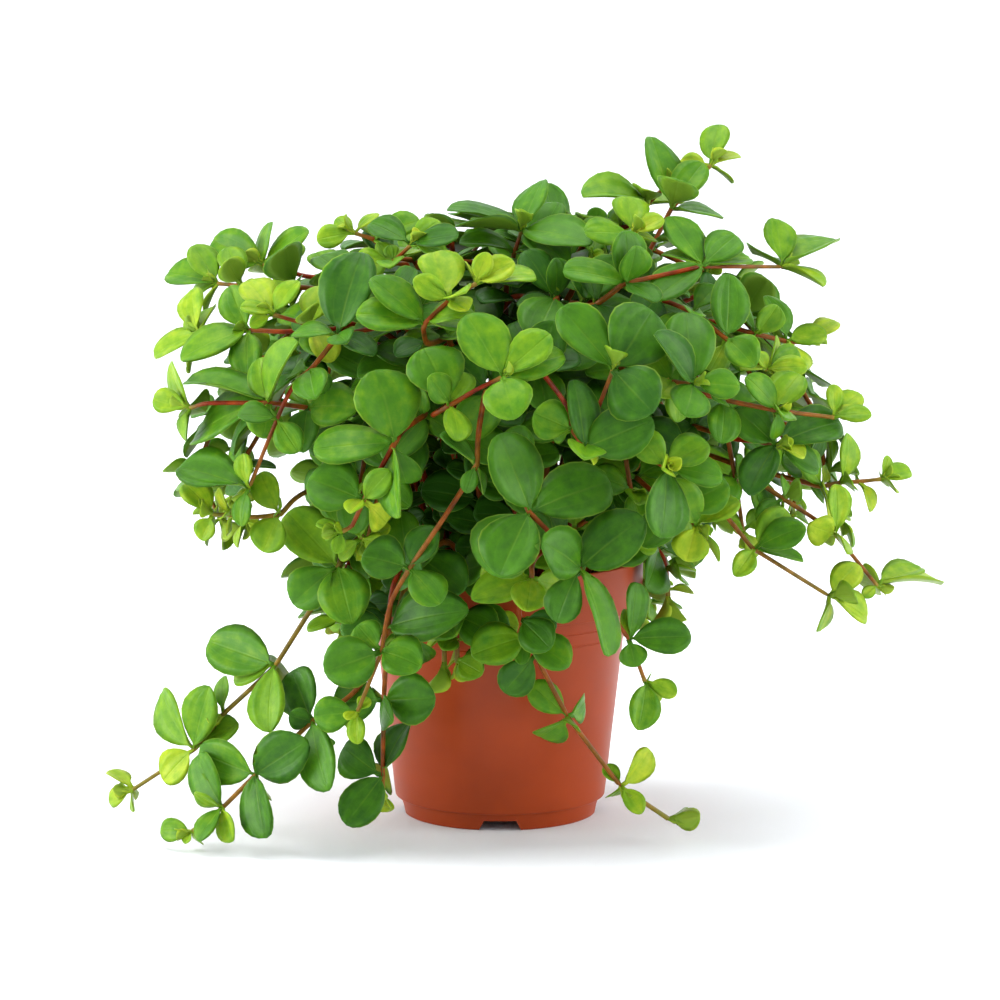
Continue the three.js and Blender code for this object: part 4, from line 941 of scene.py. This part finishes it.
def stem_tree(stalk_material, leaf_material):
    """Stands a bent leaf at each loose point, and lays a round stalk along the edges."""
    tree, given = modifier_tree("leafy_stem", {
        "Fold": "Float", "Stalk step": "Float", "Knot swell": "Float", "Leaf blanks": "Collection",
        "Lowest corner": "Vector", "Highest corner": "Vector",
    })
    own = {}
    for kind, names in OWN_ATTRIBUTES.items():
        for name in names:
            own[name] = add(tree, "InputNamedAttribute", {"Name": name}, data_type=kind)
    # Where each leaf stands, which way it points and how large it is.
    points = add(tree, "MeshToPoints", {"Mesh": given["Geometry"], "Selection": own["is_leaf"]})
    turn = add(tree, "AxesToRotation", {
        "Primary Axis": own["along"], "Secondary Axis": own["up"],
    }, primary_axis="X", secondary_axis="Z")
    picked = add(tree, "CollectionInfo", {
        "Collection": given["Leaf blanks"], "Separate Children": True,
    }, transform_space="ORIGINAL")
    placed = add(tree, "InstanceOnPoints", {
        "Points": points, "Instance": picked, "Pick Instance": True, "Instance Index": own["blank"],
        "Rotation": turn, "Scale": own["size"],
    })
    leaves = add(tree, "RealizeInstances", [placed])
    # The blade's bend: a bow along it, and a cup across it that is partly a fold at the midrib.
    place = add(tree, "SeparateXYZ", [own["place"]]).outputs
    left = add(tree, "Math", [1.0, place["X"]], "SUBTRACT")
    arch = add(tree, "Math", [place["X"], left], "MULTIPLY")
    bowed = add(tree, "Math", [arch, own["bow"]], "MULTIPLY")
    out = add(tree, "Math", [place["Y"]], "ABSOLUTE")
    square = add(tree, "Math", [out, out], "MULTIPLY")
    folded = add(tree, "Mix", {"Factor": given["Fold"], 2: square, 3: out})
    shape = add(tree, "Math", [arch, 4.0], "MULTIPLY")
    full = add(tree, "Math", [shape, 0.6], "POWER")
    cupped = add(tree, "Math", [own["cup"], folded], "MULTIPLY")
    sides = add(tree, "Math", [cupped, full], "MULTIPLY")
    turned_on = add(tree, "Math", [place["X"], 7.0, own["phase"]], "MULTIPLY_ADD")
    skew = add(tree, "Math", [place["Y"], 1.7, turned_on], "MULTIPLY_ADD")
    swing = add(tree, "Math", [skew], "SINE")
    wave = add(tree, "Math", [swing, square], "MULTIPLY")
    waved = add(tree, "Math", [wave, own["wave"]], "MULTIPLY")
    rise = add(tree, "Math", [bowed, sides], "ADD")
    lift = add(tree, "Math", [rise, waved], "ADD")
    offset = add(tree, "VectorMath", {0: own["up"], "Scale": lift}, "SCALE")
    bent = add(tree, "SetPosition", {"Geometry": leaves, "Offset": offset})
    # The stalk: the edges as a smooth curve with a round section, thicker at its knots.
    line = add(tree, "MeshToCurve", {"Mesh": given["Geometry"]})
    smooth = add(tree, "CurveSplineType", {"Curve": line}, spline_type="CATMULL_ROM")
    fine = add(tree, "ResampleCurve", {"Curve": smooth, "Length": given["Stalk step"]}, mode="LENGTH")
    sharp = add(tree, "Math", [own["knot"], 3.0], "POWER")
    swell = add(tree, "Math", [sharp, given["Knot swell"], 1.0], "MULTIPLY_ADD")
    thick = add(tree, "Math", [own["thickness"], swell], "MULTIPLY")
    section = add(tree, "CurvePrimitiveCircle", {"Resolution": 8, "Radius": 1.0})
    tube = add(tree, "CurveToMesh", {
        "Curve": fine, "Profile Curve": section, "Scale": thick, "Fill Caps": True,
    })
    stalk = add(tree, "SetShadeSmooth", {"Geometry": tube})
    # Both together, held inside the CAD part's box.
    whole = add(tree, "JoinGeometry", [stalk])
    tree.links.new(bent.outputs[0], whole.inputs[0])
    where = add(tree, "InputPosition")
    above = add(tree, "VectorMath", [where, given["Lowest corner"]], "MAXIMUM")
    within = add(tree, "VectorMath", [above, given["Highest corner"]], "MINIMUM")
    held = add(tree, "SetPosition", {"Geometry": whole, "Position": within})
    real = add(tree, "RealizeInstances", [held])
    barked = add(tree, "SetMaterial", {"Geometry": real, "Material": stalk_material})
    painted = add(tree, "SetMaterial", {
        "Geometry": barked, "Selection": own["is_leaf"], "Material": leaf_material,
    })
    add(tree, "GroupOutput", [painted])
    return tree


# Leaf: living leaf tissue under a thick waxy skin. The gloss is broad and soft; the colour goes from lime at
# the tips of the stems to deep green, a little paler along the rim and the midrib and under the leaf, and a
# little light comes through it.
# The inner leaves are darkest of all, partly by their age and partly as painted shade of the crown's
# interior.
leaf_tissue, tree = new_material("waxy_leaf_tissue")
names = {name: add(tree, "Attribute", attribute_name=name).outputs for name in ("place", "age_and_shade", "tone")}
place = add(tree, "SeparateXYZ", [names["place"]["Vector"]]).outputs
where = add(tree, "TexCoord").outputs["Object"]
blotch = add(tree, "TexNoise", {"Vector": where, "Scale": 1 / (5 * MM), "Detail": 5.0, "Roughness": 0.6})
# Streaks run from the petiole to the tip, so they follow the blade's own place rather than the space.
own = add(tree, "VectorMath", [names["place"]["Vector"], (1.3, 2.0, 0.0)], "MULTIPLY")
apart = add(tree, "Math", [names["tone"]["Fac"], 60.0], "MULTIPLY")
streak = add(tree, "TexNoise", {"Vector": own, "W": apart, "Scale": 1.0, "Detail": 1.5},
             noise_dimensions="4D")
# The age value also carries the painted shade of the inner leaves, which are darker than any outer leaf.
toned_age_and_shade = add(tree, "Math", [names["tone"]["Fac"], 0.34, names["age_and_shade"]["Fac"]], "MULTIPLY_ADD")
blotched = add(tree, "Math", [blotch, 0.72, toned_age_and_shade], "MULTIPLY_ADD")
mottled = add(tree, "Math", [streak, 0.36, blotched], "MULTIPLY_ADD")
shifted = add(tree, "MapRange", {"Value": mottled, "From Min": 0.4, "From Max": 1.67})
colour = add(tree, "ValToRGB", {"Fac": shifted},
             stops=[(0.1, "bcc22a"), (0.28, "96ae20"), (0.48, "6c9614"), (0.7, "467a10"), (1.0, "2a5810")])
out = add(tree, "Math", [place["Y"]], "ABSOLUTE")
rim = add(tree, "MapRange", {"Value": out, "From Min": 0.93, "From Max": 1.0},
          interpolation_type="SMOOTHSTEP")
rib = add(tree, "MapRange", {"Value": out, "From Min": 0.07, "From Max": 0.0},
          interpolation_type="SMOOTHSTEP")
beside = add(tree, "Math", [out, 0.42], "SUBTRACT")
away = add(tree, "Math", [beside], "ABSOLUTE")
vein = add(tree, "MapRange", {"Value": away, "From Min": 0.06, "From Max": 0.0, "To Max": 0.25},
           interpolation_type="SMOOTHSTEP")
lines = add(tree, "Math", [rib, vein], "ADD")
fading = add(tree, "MapRange", {
    "Value": place["X"], "From Min": 0.1, "From Max": 0.9, "To Min": 0.55, "To Max": 0.05,
})
ribbed = add(tree, "Math", [lines, fading, rim], "MULTIPLY_ADD", use_clamp=True)
marked = add(tree, "Math", [ribbed, 0.4], "MULTIPLY")
edged = add(tree, "Mix", {"Factor": marked, 6: colour, 7: linear("8fb236")}, data_type="RGBA").outputs[2]
under = add(tree, "MapRange", {"Value": place["Z"], "From Min": -0.2, "From Max": -0.8})
pale = add(tree, "Math", [under, 0.75], "MULTIPLY")
both = add(tree, "Mix", {"Factor": pale, 6: edged, 7: linear("76962e")}, data_type="RGBA").outputs[2]
# Relief: sunken veins, a soft swelling of the flesh between them, and the fine grain of the skin.
sunk = add(tree, "Bump", {"Height": lines, "Strength": 0.4, "Distance": 0.3 * MM}, invert=True)
flesh = add(tree, "Bump", {"Height": streak, "Strength": 0.6, "Distance": 1.2 * MM, "Normal": sunk})
skin = add(tree, "TexNoise", {"Vector": where, "Scale": 1 / (0.6 * MM), "Detail": 2.0})
pitted = add(tree, "Bump", {"Height": skin, "Strength": 0.12, "Distance": 0.3 * MM, "Normal": flesh})
gloss = add(tree, "MapRange", {"Value": blotch, "To Min": 0.34, "To Max": 0.52})
blade = add(tree, "BsdfPrincipled", {
    "Base Color": both, "Roughness": gloss, "IOR": 1.4, "Specular IOR Level": 0.24, "Normal": pitted,
    "Subsurface Weight": 0.12, "Subsurface Radius": (0.5, 1.0, 0.1), "Subsurface Scale": 1.2 * MM,
})
add(tree, "OutputMaterial", {"Surface": blade})

# Stalk: fleshy, red-brown skin with a slight gloss, greener at the knots and the young end.
stalk_skin, tree = new_material("fleshy_stalk_skin")
where = add(tree, "TexCoord").outputs["Object"]
knot = add(tree, "Attribute", attribute_name="knot").outputs["Fac"]
young = add(tree, "Attribute", attribute_name="young").outputs["Fac"]
patches = add(tree, "TexNoise", {"Vector": where, "Scale": 1 / (5 * MM), "Detail": 3.0})
red = add(tree, "ValToRGB", {"Fac": patches}, stops=[(0.3, "4e1504"), (0.5, "782406"), (0.7, "94380e")])
olive = add(tree, "ValToRGB", {"Fac": patches}, stops=[(0.3, "4c3a0c"), (0.5, "6c5212"), (0.7, "88681c")])
kind = add(tree, "Attribute", attribute_name="olive").outputs["Fac"]
bark = add(tree, "Mix", {"Factor": kind, 6: red, 7: olive}, data_type="RGBA").outputs[2]
green = add(tree, "Math", [knot, 0.2, young], "MULTIPLY_ADD", use_clamp=True)
colour = add(tree, "Mix", {"Factor": green, 6: bark, 7: linear("8c9a3c")}, data_type="RGBA").outputs[2]
skin = add(tree, "BsdfPrincipled", {
    "Base Color": colour, "Roughness": 0.3, "IOR": 1.42, "Specular IOR Level": 0.16,
})
add(tree, "OutputMaterial", {"Surface": skin})

STALK_ROUND = 0.92
YOUNG_END = 5
YOUNG_SKIN = 0.35
LEAF_SEED = 41
YOUNG_WITHIN = 4
GROWN_AFTER = 45
SMALL_LEAF = 12
LARGE_LEAF = 22
# The inner leaves' colour: the deep green of old leaves, darkened further as painted shade between the
# stalks.
INNER_AGE_AND_SHADE = 0.92
TIP_AGE = 0.12
LEAST_AGE = 0.18
LEAF_THICKNESS = 1.2
THICK_LENGTH = 16
WAVY_LENGTH = 25
CUP_LIFT = 1.45
KNOT_REACH = 3.5
grown = stem_tree(stalk_skin, leaf_tissue)


def stem_seed(stations, leaves, younger, olive):
    """The mesh that the tree grows a stem from: a line of edges, then a loose point for each leaf."""
    tip = stations[-1][0]
    points = []
    for centre, radius in stations:
        near = min((leaf["root"] - centre).length for leaf in leaves)
        points.append({
            "along": (1, 0, 0), "up": (0, 0, 1), "size": (1, 1, 1), "thickness": radius * STALK_ROUND * MM,
            "knot": max(0, 1 - near / KNOT_REACH), "olive": olive,
            "young": YOUNG_SKIN * max(0, 1 - (centre - tip).length / YOUNG_END),
        })
    for leaf in leaves:
        length, width = leaf["length"], leaf["width"]
        grown_up = min(max(((leaf["root"] - tip).length - YOUNG_WITHIN) / GROWN_AFTER, 0), 1)
        large = min(max((length - SMALL_LEAF) / (LARGE_LEAF - SMALL_LEAF), 0), 1)
        age_and_shade = 0.2 + 0.58 * max(grown_up ** 0.6, large) - younger * (1.15 - 0.7 * grown_up)
        # Inner leaves take the darkest colour wherever they stand on the stalk: old green with painted shade.
        age_and_shade = INNER_AGE_AND_SHADE if "inner" in leaf else TIP_AGE if "tip" in leaf else max(age_and_shade, LEAST_AGE)
        size = min(range(len(BLANK_SIZES)), key=lambda k: abs(BLANK_SIZES[k][1] - length))
        points.append({
            "is_leaf": 1, "blank": size * len(BLANK_OUTLINES) + dice.randrange(len(BLANK_OUTLINES)),
            "along": leaf["along"], "up": leaf["up"], "age_and_shade": age_and_shade, "tone": dice.random(),
            "size": (length * MM, width * MM, LEAF_THICKNESS * min(max(length / THICK_LENGTH, 0.45), 1) * MM),
            "bow": 4 * leaf["bow"] * length * MM, "cup": CUP_LIFT * leaf["cup"] * width / 2 * MM,
            "phase": FULL_TURN * dice.random(), "wave": dice.uniform(0.2, 0.9) * length / WAVY_LENGTH * MM,
        })
    mesh = bpy.data.meshes.new("stem_seed")
    places = [centre * MM for centre, _ in stations] + [leaf["root"] * MM for leaf in leaves]
    mesh.from_pydata(places, [(k, k + 1) for k in range(len(stations) - 1)], [])
    # The first point is one of the stalk's and the last one is a leaf's.
    for name in {**points[0], **points[-1]}:
        values = np.array([point.get(name, 0) for point in points], dtype=np.float32)
        kind, field = ("FLOAT", "value") if values.ndim == 1 else ("FLOAT_VECTOR", "vector")
        mesh.attributes.new(name, kind, "POINT").data.foreach_set(field, values.ravel())
    return mesh


# How much younger a stem's leaves look than most, and how far its stalk has turned from red to olive, by
# its name without stem_.
YOUNGER = {
    "left_trailer": 0.62, "left_low_trailer": 0.14, "left_bright": 0.42, "left_high": 0.36,
    "left_crown": 0.36, "left_level": 0.3, "left_olive": 0.24, "left_ridge": 0.2,
    "front_bright": 0.26, "front_upper": 0.24, "front_trailer": 0.8,
    "front_long": 0.06, "front_red": -0.08, "top_bright": 0.38, "top_right": 0.26,
    "right_tall": 0.32, "right_side_shoot": 0.28, "right_long": 0.3, "right_pink": 0.26,
    "right_shoulder": 0.16, "right_level": 0.16, "right_thin": 0.46, "right_orange": 0.52,
    "right_low": 0.52, "mid_right_low": 0.22, "centre_front": 0.1, "top_left": 0.1,
}
OLIVE = {
    "left_trailer": 1.0, "left_low_trailer": 0.5, "left_olive": 0.9, "front_long": 0.35,
    "right_low": 0.6, "right_orange": 0.45, "front_trailer": 0.2, "right_thin": 0.4,
}
dice = random.Random(LEAF_SEED)
for name, (leaves, stations) in {**stems, **shoots}.items():
    short = name.removeprefix("stem_")
    seed = stem_seed(stations, leaves, YOUNGER.get(short, 0), OLIVE.get(short, 0))
    stem = new_object(name.replace("stem_", "leafy_stem_", 1), seed)
    grow = stem.modifiers.new("grow", "NODES")
    grow.node_group = grown
    set_inputs(grow, {
        "Fold": 0.95, "Stalk step": 2.5 * MM, "Knot swell": 0.25, "Leaf blanks": blanks,
        "Lowest corner": tuple(cad_low), "Highest corner": tuple(cad_high),
    })
    baked(stem)
    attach(stem, "root")
    if name in stems:
        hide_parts(name)
for blank in list(blanks.objects):
    bpy.data.objects.remove(blank)
bpy.data.collections.remove(blanks)

# ------------------------------ the floor, the light and the camera
# A round sweep of white paper, which curves up on all sides. Soft light falls on the plant from both sides
# and from above, and lamps that face away from it light the paper behind it and beside it.
SWEEP_START = 2600
SWEEP_RADIUS = 1200
SWEEP_TOP = 4500
SWEEP_STEPS = 16
SWEEP_SIDES = 96
section = [Vector((0, 0)), Vector((SWEEP_START, 0))]
for k in range(1, SWEEP_STEPS + 1):
    angle = pi / 2 * k / SWEEP_STEPS
    out, up = sin(angle), 1 - cos(angle)
    section.append(Vector((SWEEP_START + SWEEP_RADIUS * out, SWEEP_RADIUS * up)))
section.append(Vector((SWEEP_START + SWEEP_RADIUS, SWEEP_TOP)))
floor = turned("floor", section[::-1], SWEEP_SIDES)
floor.data.shade_smooth()
paper, tree = new_material("matt_white_paper")
sheet = add(tree, "BsdfPrincipled", {
    "Base Color": linear("f6f8fb"), "Roughness": 0.95, "Specular IOR Level": 0.0,
})
add(tree, "OutputMaterial", {"Surface": sheet})
floor.data.materials.append(paper)

world = bpy.data.worlds.new("studio")
bpy.context.scene.world = world
world.use_nodes = True
tree = world.node_tree
tree.nodes.clear()
sky = add(tree, "Background", {"Color": linear("ffffff"), "Strength": 0.1})
add(tree, "OutputWorld", {"Surface": sky})

TARGET = Vector((0, 0, 0.1322))
EYE = (0, -1.77976, 0.40136)


def aimed(name, data, place, aim):
    """A lamp or a camera at a place in metres that points at another."""
    made = new_object(name, data)
    made.location = place
    made.rotation_euler = (aim - Vector(place)).to_track_quat("-Z", "Y").to_euler()
    return made


for name, place, aim, size, power in (
    ("left", (-1.6, -0.35, 0.55), TARGET, 0.9, 24),
    ("right", (1.6, -0.35, 0.55), TARGET, 0.9, 15),
    ("top", (-0.2, -0.3, 1.9), TARGET, 0.9, 18),
    ("paper_behind", (0, 1.6, 3.4), Vector((0, 3.6, 1.0)), 3.0, 90),
    ("paper_left", (-1.6, 0, 3.4), Vector((-3.6, 0, 1.0)), 3.0, 45),
    ("paper_right", (1.6, 0, 3.4), Vector((3.6, 0, 1.0)), 3.0, 45),
):
    lamp = bpy.data.lights.new(name, "AREA")
    lamp.size = size
    lamp.energy = power
    aimed(name, lamp, place, aim)

camera = bpy.data.cameras.new("camera")
camera.sensor_width = 36
camera.lens = 155
camera.clip_start, camera.clip_end = 0.05, 50
bpy.context.scene.camera = aimed("camera", camera, EYE, TARGET)
bpy.context.scene.view_settings.view_transform = "Standard"
